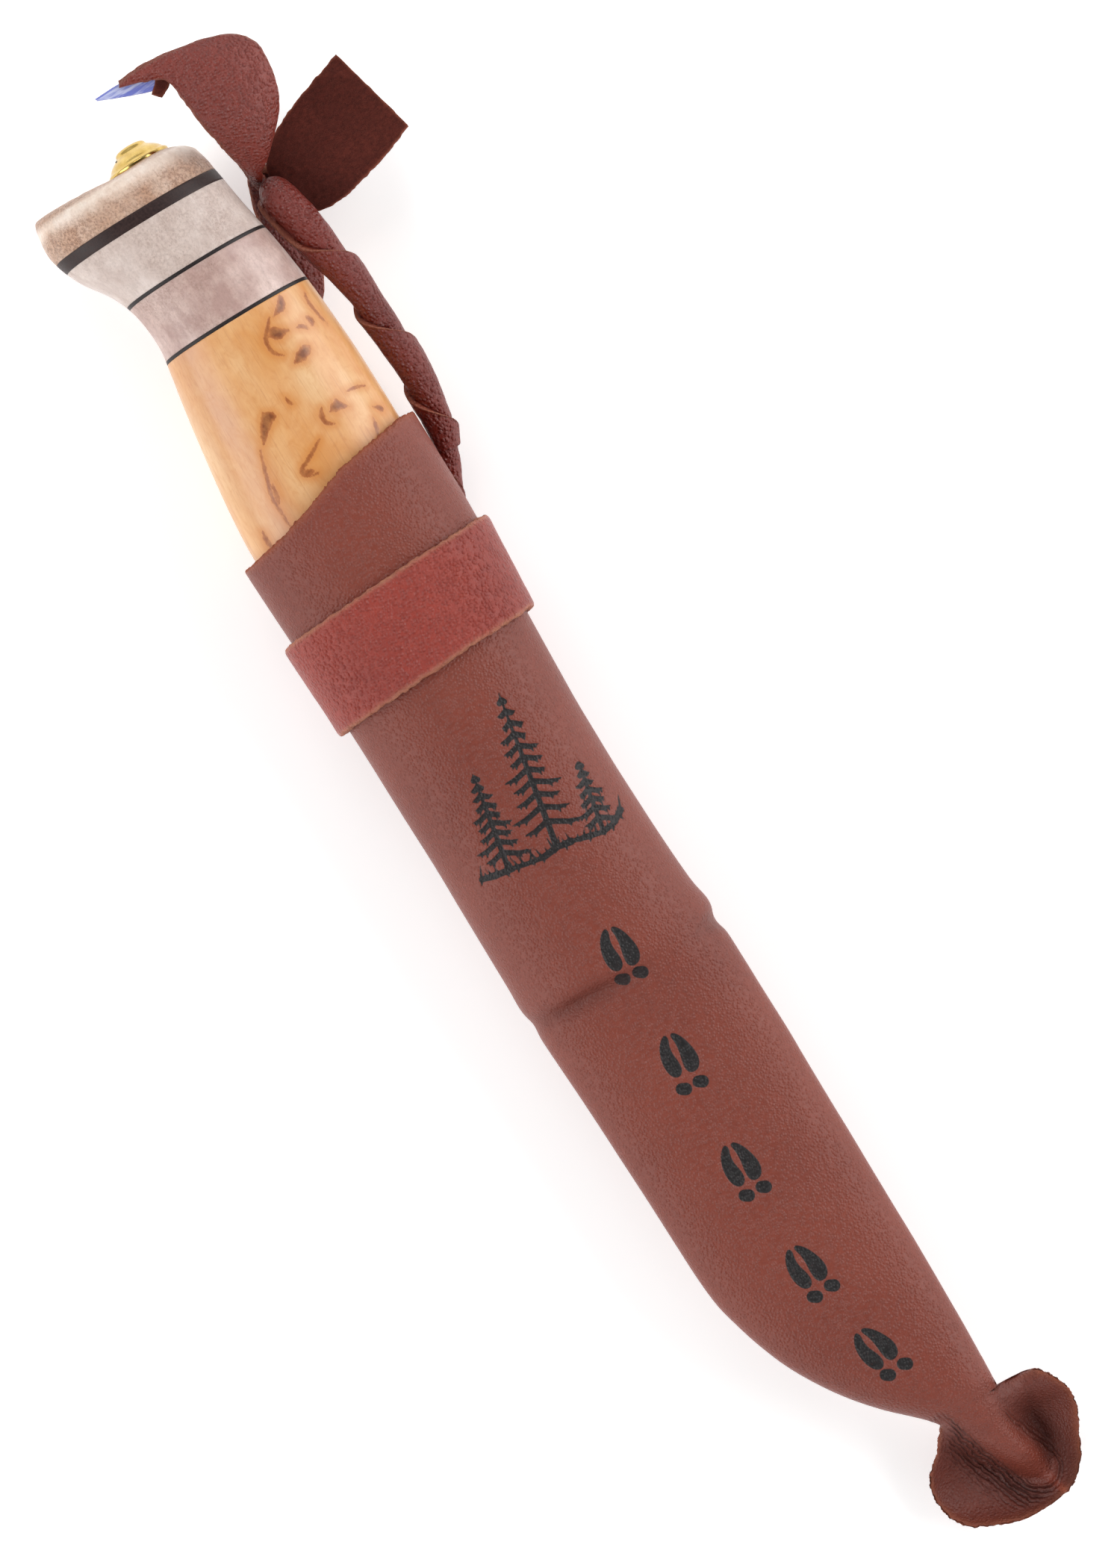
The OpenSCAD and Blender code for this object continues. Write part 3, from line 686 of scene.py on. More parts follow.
def cap_attrs(V):
    u = (V[:, 0] + 72) / 5.9
    n = fbm(V, 1.6, 3, 3)
    z = step(0.22, 0.72, u + 0.10 * n + 0.10 * step(2, -12, V[:, 1])) * (0.8 + 0.28 * fbm(V, 2.4, 3, 8))
    top = np.where(V[:, 0] < -71.2, 0.9, 0.0) * step(-70.9, -71.9, V[:, 0])
    return {"pores": np.clip(np.maximum(z, top), 0, 1)}



def birch_piece():
    nc = 330
    a = (np.arange(nc) + 0.5) / nc * 2 * np.pi
    X = np.concatenate([[-46.5, -46.48], np.arange(-46.44, -15, 0.25), np.arange(-15, 54.5, 1.2), [54.9, 54.98, 55.0]])
    pull = np.zeros(len(X))
    pull[0], pull[1], pull[-1], pull[-2] = 0.06, 0.02, 0.06, 0.02
    P = grip(X, pull, a)
    V, F = closed(P)
    return make("birch_grip", V, F, birch, "knife", ("birch_grip",), birch_attrs(V))


birch_piece()
handle_piece("spacer_lower", -47.0, -46.5, 0.3, 220, black, 0.04)
handle_piece("antler_ring_lower", -55.6, -47.0, 0.3, 260, antler_low, 0.06, fn=pores_of(-55.6, -47, 0.55, 31))
handle_piece("spacer_upper", -56.1, -55.6, 0.3, 220, black, 0.04)
handle_piece("antler_ring_upper", -64.3, -56.1, 0.3, 260, antler_up, 0.06, fn=pores_of(-64.3, -56.1, 0.6, 37))
handle_piece("spacer_dark", -66.1, -64.3, 0.3, 240, dark, 0.06)
handle_piece("front_bolster", 55, 57, 0.4, 200, brass, 0.3)


def cap_piece():
    nc = 300
    a = (np.arange(nc) + 0.5) / nc * 2 * np.pi
    # place, pull at the low side, at the high side, and at the faces
    prof = [(-72.2, 2.6, 7.0, 6.2), (-72.17, 1.3, 5.0, 4.8), (-72.1, 0.6, 3.6, 3.6), (-71.98, 0.3, 2.5, 2.6), (-71.8, 0.16, 1.7, 1.75), (-71.55, 0.08, 1.1, 1.0), (-71.25, 0.03, 0.62, 0.5), (-70.9, 0.0, 0.3, 0.2), (-70.4, 0.0, 0.08, 0.04)]
    X = np.concatenate([[p[0] for p in prof], np.arange(-70.0, -66.2, 0.2), [-66.14, -66.1]])
    k = len(X) - len(prof)
    pl = np.concatenate([[p[1] for p in prof], np.zeros(k - 1), [0.06]])
    ph = np.concatenate([[p[2] for p in prof], np.zeros(k - 1), [0.06]])
    pz = np.concatenate([[p[3] for p in prof], np.zeros(k - 1), [0.06]])
    XX = np.clip(X, -72, None)
    lo, hi, hz = smooth(XX, GLO) + pl, smooth(XX, GHI) - ph, smooth(XX, GHZ) - pz
    P = oval(X, a, (lo + hi) / 2, (hi - lo) / 2, np.full(len(X), ZC), hz, 2.2)
    P[..., 0] += step(-69.2, -71.8, X)[:, None] * lin(P[..., 1], [[-13, -0.7], [-9, -0.5], [-5, -0.15], [-1, 0.15], [3, 0.15], [6.8, -0.05], [9, 0.25], [11, 0.5]])
    N = grid_normals(P)
    k = step(-66.1, -67.5, P[..., 0])
    P = P + N * (0.06 * k * fbm(P, 1.2, 3, 4) + 0.16 * k * fbm(P, 4.5, 2, 14))[..., None]
    V, F = closed(P)
    return make("antler_cap", V, F, antler_top, "knife", ("antler_cap",), cap_attrs(V))


cap_piece()


def lathe_x(name, prof, yc, zc, nc, mat, body, nodes):
    """Turned about an axis along X: prof is (x, radius)."""
    prof = np.array(prof, float)
    a = (np.arange(nc) + 0.5) / nc * 2 * np.pi
    P = np.stack([np.repeat(prof[:, :1], nc, 1), yc + prof[:, 1:] * np.cos(a), zc + prof[:, 1:] * np.sin(a)], -1)
    V, F = closed(P)
    return make(name, V, F, mat, body, nodes)


dome = [(-71.2, 4.5), (-72.0, 4.62), (-72.2, 4.66), (-72.38, 4.62), (-72.5, 4.5), (-72.6, 4.3), (-72.85, 4.1), (-73.2, 3.82), (-73.55, 3.4), (-73.85, 2.95), (-74.05, 2.62), (-74.18, 2.45), (-74.3, 2.36),
        (-74.5, 2.3), (-74.68, 2.18), (-74.84, 1.95), (-74.96, 1.6), (-75.04, 1.15), (-75.08, 0.7), (-75.1, 0.25)]
lathe_x("pommel_washer", dome, 3.6, ZC, 96, brass, "knife", ("pommel_washer",))

# ---------------------------------------------------------------- sheath
T_LO = [[-24, -13.4], [-8, -13], [10, -12.5], [30, -12.3], [53, -12.4], [72, -11.7], [98, -11.1], [103, -10.7], [107, -9.7], [111, -8.5], [115, -7], [119, -4.9], [123, -2.3], [127, 1], [131, 5], [133.2, 6.9]]
T_HI = [[-24, 18], [-8, 17.9], [10, 16.8], [30, 16.2], [47, 16.6], [62, 17.4], [100, 17.2], [120, 17], [132.6, 16.4]]
F_LO = [[133.2, 6.9], [135, 5.6], [136.7, 4.3], [138.8, 2.0], [140.9, 1.0], [143.4, 0.8], [145.8, 1.5], [147.8, 2.9], [149.3, 5.7], [150.7, 9.5], [151.05, 12.0]]
F_HI = [[132.6, 16.4], [132.9, 19.4], [133.4, 21.5], [134.5, 22.9], [136.6, 24.1], [138.6, 24.6], [141.1, 24.2], [143.6, 23.0], [147.0, 21.2], [149.3, 19.1], [150.8, 16.3], [151.05, 14.4]]
T_HZ = [[-24, 11.3], [-8, 11.2], [0, 10.9], [20, 10.5], [40, 10], [52, 9.6], [56, 9.1], [59, 8.1], [62, 7.2], [68, 6.4], [90, 5.9], [110, 5.3], [125, 4.7], [131, 4.2], [134, 3.2], [138, 2.4], [143, 1.6], [148, 0.8], [151, 0.4]]
T_ZC = [[-24, 12], [124, 12], [128, 11.5], [131, 10.8], [134, 9.6], [138, 7.8], [143, 6.2], [148, 4.0], [151, 3.0]]
R_C = [[127, 8.85], [131, 10.75], [133, 11.4], [135.5, 12.0], [139, 12.9], [143, 14.3], [146, 15.3], [151, 17]]
R_H = [[127, 7.85], [131, 5.75], [133, 4.7], [135.5, 3.7], [139, 2.8], [143, 2.2], [146, 1.5], [147.6, 0.8], [151, 0.5]]
FAN = [(133.2, 6.9), (135, 5.6), (136.7, 4.3), (138.8, 2.0), (140.9, 1.0), (143.4, 0.8), (145.8, 1.5), (147.8, 2.9), (149.3, 5.7), (150.7, 9.5), (151.1, 13.1), (150.8, 16.3), (149.3, 19.1), (147.0, 21.2), (143.6, 23.0), (141.1, 24.2), (138.6, 24.7), (136.6, 24.1), (134.5, 22.9), (133.4, 21.5), (132.9, 19.4), (132.7, 16.4)]
LEAN = [[-12.9, 3.7], [-8.7, 3.3], [-2, 1.6], [5.4, -1.1], [11.4, -2.1], [15.9, -3.1]]
MOUTH = -20.4


def lean(P, xr):
    w = np.clip((-6 - xr) / 14.4, 0, 1)
    P = P.copy()
    P[..., 0] += w[:, None] * lin(P[..., 1], LEAN)
    return P


def sheath_exp(X):
    return 2.25 + 0.35 * step(50, 64, X)


# columns: finer on the front
_t = np.linspace(0, 2 * np.pi, 6001)
_y, _z = 15 * np.sign(np.cos(_t)) * np.abs(np.cos(_t)) ** (2 / 2.4), 8.5 * np.sign(np.sin(_t)) * np.abs(np.sin(_t)) ** (2 / 2.4)
_s = np.concatenate([[0], np.cumsum(np.hypot(np.diff(_y), np.diff(_z)))])
_half = _s[3000]
NF, NB = 168, 76
COL = np.concatenate([np.interp((np.arange(NF) + 0.5) / NF * _half, _s, _t), np.interp(_half + (np.arange(NB) + 0.5) / NB * (_s[-1] - _half), _s, _t)])


def tree(base, up, right, H, W, tiers, rt, rb):
    base, up, right = map(lambda v: np.array(v, float), (base, up, right))
    out = [(base, base + up * H * 0.55, rt, rt * 0.75), (base + up * H * 0.55, base + up * H, rt * 0.75, 0.1)]
    for i in range(tiers):
        h = H * (0.14 + 0.8 * (i / (tiers - 1)) ** 0.92)
        L = W * (1 - h / H) ** 0.8 + 0.25
        for sgn in (-1, 1):
            k = 1 + 0.22 * math.sin(i * 2.3 + sgn * 1.1)
            p0 = base + up * (h + 0.25)
            p1 = base + up * (h - 0.16 * L * k) + right * sgn * L * 0.55 * k
            p2 = base + up * (h - 0.22 * L * k + 0.12) + right * sgn * L * k
            out += [(p0, p1, rb, rb * 0.95), (p1, p2, rb * 0.95, 0.1)]
            if L > 1.4:
                out.append((p1, p1 - up * 0.75 + right * sgn * 0.25, rb * 0.7, 0.08))
                q = (p1 + p2) / 2
                out.append((q, q - up * 0.5 + right * sgn * 0.2, rb * 0.6, 0.08))
    return out


UP, RI = np.array([-0.982, 0.189]), np.array([0.189, 0.982])
INK = []
INK += tree((37.3, 3.6), UP, RI, 22.0, 4.5, 11, 0.44, 0.40)
INK += tree((36.6, -3.6), UP, RI, 13.5, 3.3, 9, 0.38, 0.38)
INK += tree((38.8, 10.2), UP, RI, 9.6, 2.6, 7, 0.34, 0.38)
GROUND = [(36.2, -7.6), (36.7, -5.6), (37.1, -3.2), (37.6, -1.0), (38.0, 1.2), (37.8, 3.4), (38.1, 5.6), (38.7, 7.8), (39.3, 10.0), (39.0, 12.2), (38.0, 13.6)]
for i, (p, q) in enumerate(zip(GROUND[:-1], GROUND[1:])):
    INK.append((np.array(p), np.array(q), 0.36 + 0.1 * math.sin(i * 1.9), 0.42 + 0.1 * math.cos(i * 1.3)))
_rng = np.random.default_rng(5)
for i in range(26):
    t = i / 25
    g = np.array([np.interp(t, np.linspace(0, 1, len(GROUND)), [p[0] for p in GROUND]), np.interp(t, np.linspace(0, 1, len(GROUND)), [p[1] for p in GROUND])])
    L, s = _rng.uniform(0.7, 2.1), _rng.uniform(-0.45, 0.45)
    INK.append((g, g + UP * L + RI * s * L, 0.2, 0.06))
    if i % 2 == 0:
        INK.append((g, g - UP * _rng.uniform(0.4, 1.1) + RI * _rng.uniform(-0.5, 0.5), 0.24, 0.08))

def rounded(poly, n=2):
    p = np.asarray(poly, float)
    for _ in range(n):
        nx = np.roll(p, -1, 0)
        p = np.stack([0.75 * p + 0.25 * nx, 0.25 * p + 0.75 * nx], 1).reshape(-1, 2)
    return p


TOE_A = rounded([(-3.5, -0.3), (-2.6, -1.5), (-1.2, -2.25), (0.4, -2.6), (2.0, -2.4), (2.7, -1.5), (2.1, -0.6), (0.8, -0.42), (-0.6, -0.62), (-1.8, -0.42), (-2.8, 0.05)])
TOE_B = rounded([(-3.2, 0.8), (-2.9, 0.35), (-1.8, 0.5), (-0.4, 0.35), (0.9, -0.02), (2.3, -0.2), (3.0, 0.3), (3.0, 1.4), (2.0, 2.15), (0.7, 2.3), (-1.1, 2.0), (-2.4, 1.5)])
TRACKS = [(54.0, 3.5, 0, [(57.9, 1.7), (58.3, 4.3)]), (70.7, 2.8, 0, [(75.0, 1.0), (75.3, 3.5)]), (87.8, 2.2, 4, [(91.9, 0.7), (92.1, 3.3)]), (104.4, 2.5, 10, [(108.6, 1.4), (108.5, 4.2)]), (118.9, 4.8, 18, [(123.0, 4.3), (122.9, 7.1)])]


def ink_sd(P):
    """Signed distance to the printed trees and hoof tracks on the front, P is (n,2)."""
    d = np.full(len(P), 3.0)
    m = (P[:, 0] > 10) & (P[:, 0] < 44) & (P[:, 1] > -10) & (P[:, 1] < 17)
    q = P[m]
    dm = d[m]
    for a, b, ra, rb in INK:
        lo, hi = np.minimum(a, b) - 2.0, np.maximum(a, b) + 2.0
        s = (q[:, 0] > lo[0]) & (q[:, 0] < hi[0]) & (q[:, 1] > lo[1]) & (q[:, 1] < hi[1])
        if s.any():
            dm[s] = np.minimum(dm[s], seg_dist(q[s], a, b, ra, rb))
    d[m] = dm
    for x, y, turn, dots in TRACKS:
        m = (np.abs(P[:, 0] - x - 1) < 8) & (np.abs(P[:, 1] - y) < 6)
        q = P[m]
        e = d[m]
        ca, sa = math.cos(math.radians(turn)), math.sin(math.radians(turn))
        r = np.stack([(q[:, 0] - x) * ca + (q[:, 1] - y) * sa, -(q[:, 0] - x) * sa + (q[:, 1] - y) * ca], -1)
        e = np.minimum(e, np.minimum(poly_sd(r, TOE_A), poly_sd(r, TOE_B)))
        for k, p in enumerate(dots):
            e = np.minimum(e, seg_dist(q, (p[0] - 0.15, p[1] - 0.25), (p[0] + 0.15, p[1] + 0.25), 0.82, 0.86))
        d[m] = e
    return d


def fan_top_bottom(X, Y):
    """Heights of the top and underside where the tube turns into the flared tip."""
    c, hw = smooth(X, R_C), smooth(X, R_H)
    zm, hz = smooth(X, T_ZC), smooth(X, T_HZ)
    n = sheath_exp(X)
    v = np.abs(Y - c) / hw
    u = np.clip(v, 0, 1)
    arch = (1 - u**n) ** (1 / n)
    rt = np.where(v <= 1, zm + hz * arch, zm - 6 * (v - 1))
    k = step(136, 131, X)
    rb = np.where(v <= 1, zm - hz * arch * k, zm + 6 * (v - 1)) + 5 * (1 - k)
    P2 = np.stack([X, Y], -1).reshape(-1, 2)
    do = line_dist(P2, FAN).reshape(X.shape)
    axis = [(131, 10.75), (133, 11.4), (135.5, 12.0), (139, 12.9), (143, 14.3), (146, 15.3)]
    dr = line_dist(P2, axis).reshape(X.shape)
    side = step(-2.5, 2.5, (Y - c))
    base = 7.6 - 5.0 * step(132, 144, X)
    # right wing: a scoop that climbs to its rim
    wall = np.clip(1 - do / 6.5, 0, 1)
    base = base + side * step(132.5, 137, X) * (5.2 * wall**1.6 - 0.8 * np.exp(-((dr - 3.6) / 1.8) ** 2))
    base = base + (1 - side) * (1.6 * np.clip(1 - do / 4.0, 0, 1) ** 2 - 0.5 * np.exp(-((dr - 4.4) / 1.8) ** 2))
    base = base + 1.8 * step(143, 151, X) * np.clip(1 - do / 4.0, 0, 1) ** 1.5
    # finger of the tube that runs out over the flare
    fz = smooth(X, [[131, 14.9], [133, 13.6], [135, 12.4], [137, 11.2], [139, 10.1], [141, 9.0], [143, 7.9], [145, 6.9], [147, 5.9], [149, 5.2], [151, 4.8]])
    bell = np.exp(-0.75 * (v * 0.8) ** 2.6)
    fin = base + (np.maximum(fz - base, 0)) * bell * step(150.5, 142.0, X)
    mixk = step(131.5, 134.5, X)
    ws = step(130.5, 133.4, X)
    th = 1.7 * np.sqrt(np.clip(1 - (1 - np.clip(do / 0.55, 0, 1)) ** 2, 0, 1))
    top = base + th / 2 - 14 * (1 - ws)
    bot = base - th / 2 + 14 * (1 - ws)
    T0 = smax(rt, top, 0.8)
    T1 = np.maximum(fin + th / 2 - 0.4, top)
    T = T0 * (1 - mixk) + T1 * mixk
    B = smin(rb, bot, 1.0)
    wr = step(0.5, 2.0, do) * ws
    q = np.stack([X, Y, X * 0], -1)
    dd = dr - 2.7
    near = step(-0.6, 0.5, dd) * np.exp(-(np.maximum(dd - 0.6, 0) / 3.3) ** 2)
    amp = near * ((1 - side) + side * np.exp(-(np.maximum(dd, 0) / 1.0) ** 2) * 0.7 * step(134.5, 138, X))
    warp = dr + 0.5 * fbm(q, 2.8, 2, 41)
    T = T + wr * (0.10 * amp * np.sin(2 * np.pi * warp / 1.15) + 0.06 * fbm(q, 1.6, 3, 45) * np.exp(-((dr - 5) / 4) ** 2))
    T = np.maximum(T, B + 0.02)
    shade = ws * np.clip(0.45 * (1 - np.exp(-0.5 * (v * 0.9) ** 2)) + 0.35 * near * (1 - side) + 0.45 * side * np.exp(-((dr - 4.0) / 2.6) ** 2), 0, 1) * step(0.2, 1.2, v)
    return T, np.maximum(B, 0.05), do, shade, dr, np.clip(amp * wr, 0, 1)


def sheath():
    X1 = np.concatenate([
        np.arange(MOUTH + 0.25, -8, 0.6), np.arange(-8, 11, 1.2), np.arange(11, 42, 0.24), np.arange(42, 50, 0.5),
        np.arange(50, 60.5, 0.3), np.arange(60.5, 66.5, 0.6), np.arange(66.5, 77, 0.3), np.arange(77, 84, 0.7), np.arange(84, 94, 0.3),
        np.arange(94, 100.5, 0.7), np.arange(100.5, 110.5, 0.3), np.arange(110.5, 115, 0.6), np.arange(115, 125, 0.3), np.arange(125, 128, 0.4)])
    X2 = np.concatenate([np.arange(128, 132, 0.3), np.arange(132, 133.5, 0.1), np.arange(133.5, 149.6, 0.16), 151.05 - 1.45 * np.cos(np.linspace(0, 1, 12) * np.pi / 2)])
    nc = len(COL)
    lo = np.where(X1 < 133.2, smooth(X1, T_LO), 0)
    hi = smooth(X1, T_HI)
    P1 = []
    n1 = sheath_exp(X1)
    c, s = np.cos(COL), np.sin(COL)
    Y = (lo + hi)[:, None] / 2 + (hi - lo)[:, None] / 2 * np.sign(c) * np.abs(c) ** (2 / n1[:, None])
    Z = smooth(X1, T_ZC)[:, None] + smooth(X1, T_HZ)[:, None] * np.sign(s) * np.abs(s) ** (2 / n1[:, None])
    P1 = np.stack([np.broadcast_to(X1[:, None], Y.shape), Y, Z], -1)
    N1 = grid_normals(P1)
    top = step(-0.2, 0.6, N1[..., 2])
    # crease where the handle ends and the blade's thinner part begins
    xc = 57.6 + 0.9 * np.exp(-((Y - 6) / 7) ** 2) - 0.6 * step(-6, -12, Y)
    side = np.exp(-((Y + 4.5) / 7.5) ** 2) * 1.0 + 0.75 * np.exp(-((Y - 17) / 3.2) ** 2)
    fold = side * np.exp(-((P1[..., 0] - xc) / 1.35) ** 2) * step(-0.5, 0.3, N1[..., 2])
    disp = -1.15 * fold
    disp = disp + 0.5 * side * np.exp(-((P1[..., 0] - xc + 3.0) / 2.2) ** 2)
    # gentle unevenness of wet-formed leather
    disp = disp + 0.10 * fbm(P1, 11.0, 2, 51)
    # print pressed into the leather
    ink = np.full(Y.shape, 3.0)
    front = N1[..., 2] > 0.05
    ink[front] = ink_sd(np.stack([P1[..., 0][front], Y[front]], -1))
    disp = disp - 0.16 * step(0.12, -0.2, ink) + 0.015 * np.exp(-((ink - 0.28) / 0.16) ** 2)
    # butt seam down the back
    ymid = (lo + hi)[:, None] / 2
    back = N1[..., 2] < -0.3
    disp = disp - np.where(back, 0.45 * np.exp(-((Y - ymid) / 0.32) ** 2), 0) * step(-19, -17, P1[..., 0])
    P1 = P1 + N1 * disp[..., None]
    P1[..., 2] = np.maximum(P1[..., 2], 0.1)
    P1 = lean(P1, X1)
    # flared tip
    lo2 = np.where(X2 < 133.2, smooth(np.minimum(X2, 133.2), T_LO), smooth(np.maximum(X2, 133.2), F_LO))
    hi2 = np.where(X2 < 132.6, smooth(np.minimum(X2, 132.6), T_HI), smooth(np.maximum(X2, 132.6), F_HI))
    n2 = sheath_exp(X2)
    Y2 = (lo2 + hi2)[:, None] / 2 + (hi2 - lo2)[:, None] / 2 * np.sign(c) * np.abs(c) ** (2 / n2[:, None])
    XX = np.broadcast_to(X2[:, None], Y2.shape)
    T, B, do, shd, drA, wrkA = fan_top_bottom(XX, Y2)
    Z2 = np.where(s[None, :] > 0, T, B)
    P2 = np.stack([XX, Y2, Z2], -1)
    jag = 0.26 * fbm(P2, 0.45, 2, 71) * np.exp(-(do / 0.5) ** 2) * step(133, 134, XX)
    P2[..., 0] += jag
    P2[..., 1] += 0.26 * fbm(P2, 0.45, 2, 73) * np.exp(-(do / 0.5) ** 2) * step(133, 134, XX)
    # inside: space for the handle, then the liner's pocket
    XI = np.array([-14, -8, 0, 10, 20, 30, 40, 48, 54, 57.8])
    XI = np.concatenate([[MOUTH + 0.3, MOUTH + 1.5, -16.5], XI])
    lo3, hi3, hz3 = smooth(XI, GLO), smooth(XI, GHI), smooth(XI, GHZ)
    PI = oval(XI, COL, (lo3 + hi3) / 2, (hi3 - lo3) / 2 + 0.25, np.full(len(XI), ZC), hz3 + 0.25, 2.2)
    PI = lean(PI, XI)
    pk_lo = [[58.6, -9.4], [62, -10], [72, -9.9], [98, -9.2], [107, -7.8], [115, -5], [123, -0.2], [127, 3.4], [129.5, 6.4]]
    pk_hi = [[58.6, 14], [62, 15], [72, 15.3], [100, 15.3], [120, 15], [126, 14.8], [129.5, 13.5]]
    pk_hz = [[58.6, 6.6], [62, 5.2], [68, 4.4], [90, 4], [110, 3.5], [125, 2.9], [129.5, 2.2]]
    XP = np.array([58.6, 60, 62, 65, 68, 72, 80, 90, 98, 103, 107, 111, 115, 119, 123, 127, 129.5])
    lo4, hi4 = lin(XP, pk_lo), lin(XP, pk_hi)
    PP = oval(XP, COL, (lo4 + hi4) / 2, (hi4 - lo4) / 2, np.full(len(XP), ZC), lin(XP, pk_hz), 2.3)
    inner = np.concatenate([PP[::-1], PI[::-1]])
    # rim of the mouth: rough cut leather
    a, b = PI[0], P1[0]
    rim = []
    for t, dx in ((0.0, -0.16), (0.15, -0.26), (0.5, -0.32), (0.85, -0.26), (1.0, -0.16)):
        q = a + (b - a) * (0.06 + 0.9 * t)
        q[:, 0] += dx + 0.34 * fbm(q + np.array([0, 0, t * 3]), 0.42, 2, 61) + 0.16 * fbm(q, 2.0, 2, 62)
        rim.append(q)
    rim = np.array(rim)
    P = np.concatenate([inner, rim, P1, P2])
    ni, nm = len(inner), len(rim)
    edge = np.zeros(P.shape[:2])
    edge[ni:ni + nm] = 0.85
    edge[ni + nm] = 0.5
    edge[ni + nm + 1] = 0.12
    e2 = np.exp(-(do / (0.36 + 0.3 * step(138, 146, XX) + 0.3 * step(14, 20, Y2))) ** 2) * step(133.0, 134.0, XX)
    edge[ni + nm + len(P1):] = e2 * (0.8 + 0.3 * fbm(P2, 0.8, 2, 77))
    shadeA = np.zeros(P.shape[:2])
    shadeA[ni + nm + len(P1):] = np.where(s[None, :] > 0, shd, 0.2)
    shadeA[:ni] = 0.5
    shadeA[ni + nm:ni + nm + len(P1)] = 0.55 * fold
    rip, wrk = np.zeros(P.shape[:2]), np.zeros(P.shape[:2])
    rip[ni + nm + len(P1):] = drA
    wrk[ni + nm + len(P1):] = np.where(s[None, :] > 0, wrkA, 0)
    inkA = np.full(P.shape[:2], 3.0)
    inkA[ni + nm:ni + nm + len(P1)] = ink
    V, F = closed(P)
    z = lambda v, e: np.concatenate([v.ravel(), [e, e]])
    return make("sheath_body", V, F, leather, "sheath", ("sheath_body",), {"ink": z(inkA, 3.0), "edge": z(np.clip(edge, 0, 1), 0.0), "shade": z(np.clip(shadeA, 0, 1), 0.3), "rip": z(rip, 0.0), "wrk": z(wrk, 0.0)})


sheath()


# ---------------------------------------------------------------- band
def band():
    a, b = -5.5, 8.7
    nk = 420
    t = np.linspace(0, 2 * np.pi, 6001)
    y = 15.8 * np.sign(np.cos(t)) * np.abs(np.cos(t)) ** (2 / 2.25)
    z = 11 * np.sign(np.sin(t)) * np.abs(np.sin(t)) ** (2 / 2.25)
    s = np.concatenate([[0], np.cumsum(np.hypot(np.diff(y), np.diff(z)))])
    col = np.interp((np.arange(nk) + 0.5) / nk * s[-1], s, t)
    rows = []
    xs = np.concatenate([[a + 0.0, a + 0.0, a + 0.04, a + 0.16, a + 0.4], np.arange(a + 0.7, b - 0.55, 0.28), [b - 0.4, b - 0.16, b - 0.04, b, b]])
    gr = np.concatenate([[0.1, 0.55, 0.95, 1.22, 1.38], np.full(len(xs) - 10, 1.45), [1.38, 1.22, 0.95, 0.55, 0.1]])
    ins = np.linspace(b - 0.3, a + 0.3, 8)
    X = np.concatenate([xs, ins])
    G = np.concatenate([gr, np.full(8, 0.05)])
    lo, hi, hz = smooth(X, T_LO), smooth(X, T_HI), smooth(X, T_HZ)
    P = oval(X, col, (lo + hi) / 2, (hi - lo) / 2 + G, np.full(len(X), ZC), hz + G, 2.25)
    no = len(xs)
    N = np.zeros_like(P)
    c, sn = np.cos(col), np.sin(col)
    N[..., 1], N[..., 2] = c, sn
    du = 1 - np.abs((X - 1.6) / 7.1) ** 2
    d = np.zeros(P.shape[:2])
    d[:no] = 0.022 * fbm(P[:no], 0.7, 3, 81) + 0.10 * fbm(P[:no], 5.0, 2, 83) + 0.06
    P = P + N * d[..., None]
    ex = np.minimum(X - a, b - X)
    e = np.exp(-(ex / 0.42) ** 2)
    e[no:] = 0
    wob = 0.26 * fbm(P * np.array([0, 1, 1]) + np.array([5, 0, 0]), 0.7, 3, 85)
    wob2 = 0.22 * fbm(P * np.array([0, 1, 1]) + np.array([9, 0, 0]), 7.0, 2, 86)
    P[..., 0] += (wob + wob2) * np.exp(-(ex / 0.7) ** 2)[:, None]
    P[..., 0] -= 0.042 * (P[..., 1] - 2)
    P[..., 2] = np.maximum(P[..., 2], 0.0)
    nr, nc, _ = P.shape
    F = [quads(nr, nc)]
    k = np.arange(nc)
    k2 = (k + 1) % nc
    F.append(np.stack([(nr - 1) * nc + k, (nr - 1) * nc + k2, k2, k], -1))
    E = np.repeat(e[:, None], nc, 1) * (0.75 + 0.5 * fbm(P, 0.9, 2, 87))
    return make("strap_band", P.reshape(-1, 3), F, strap, "sheath", ("strap_band",), {"edge": np.clip(E, 0, 1).ravel()})


band()


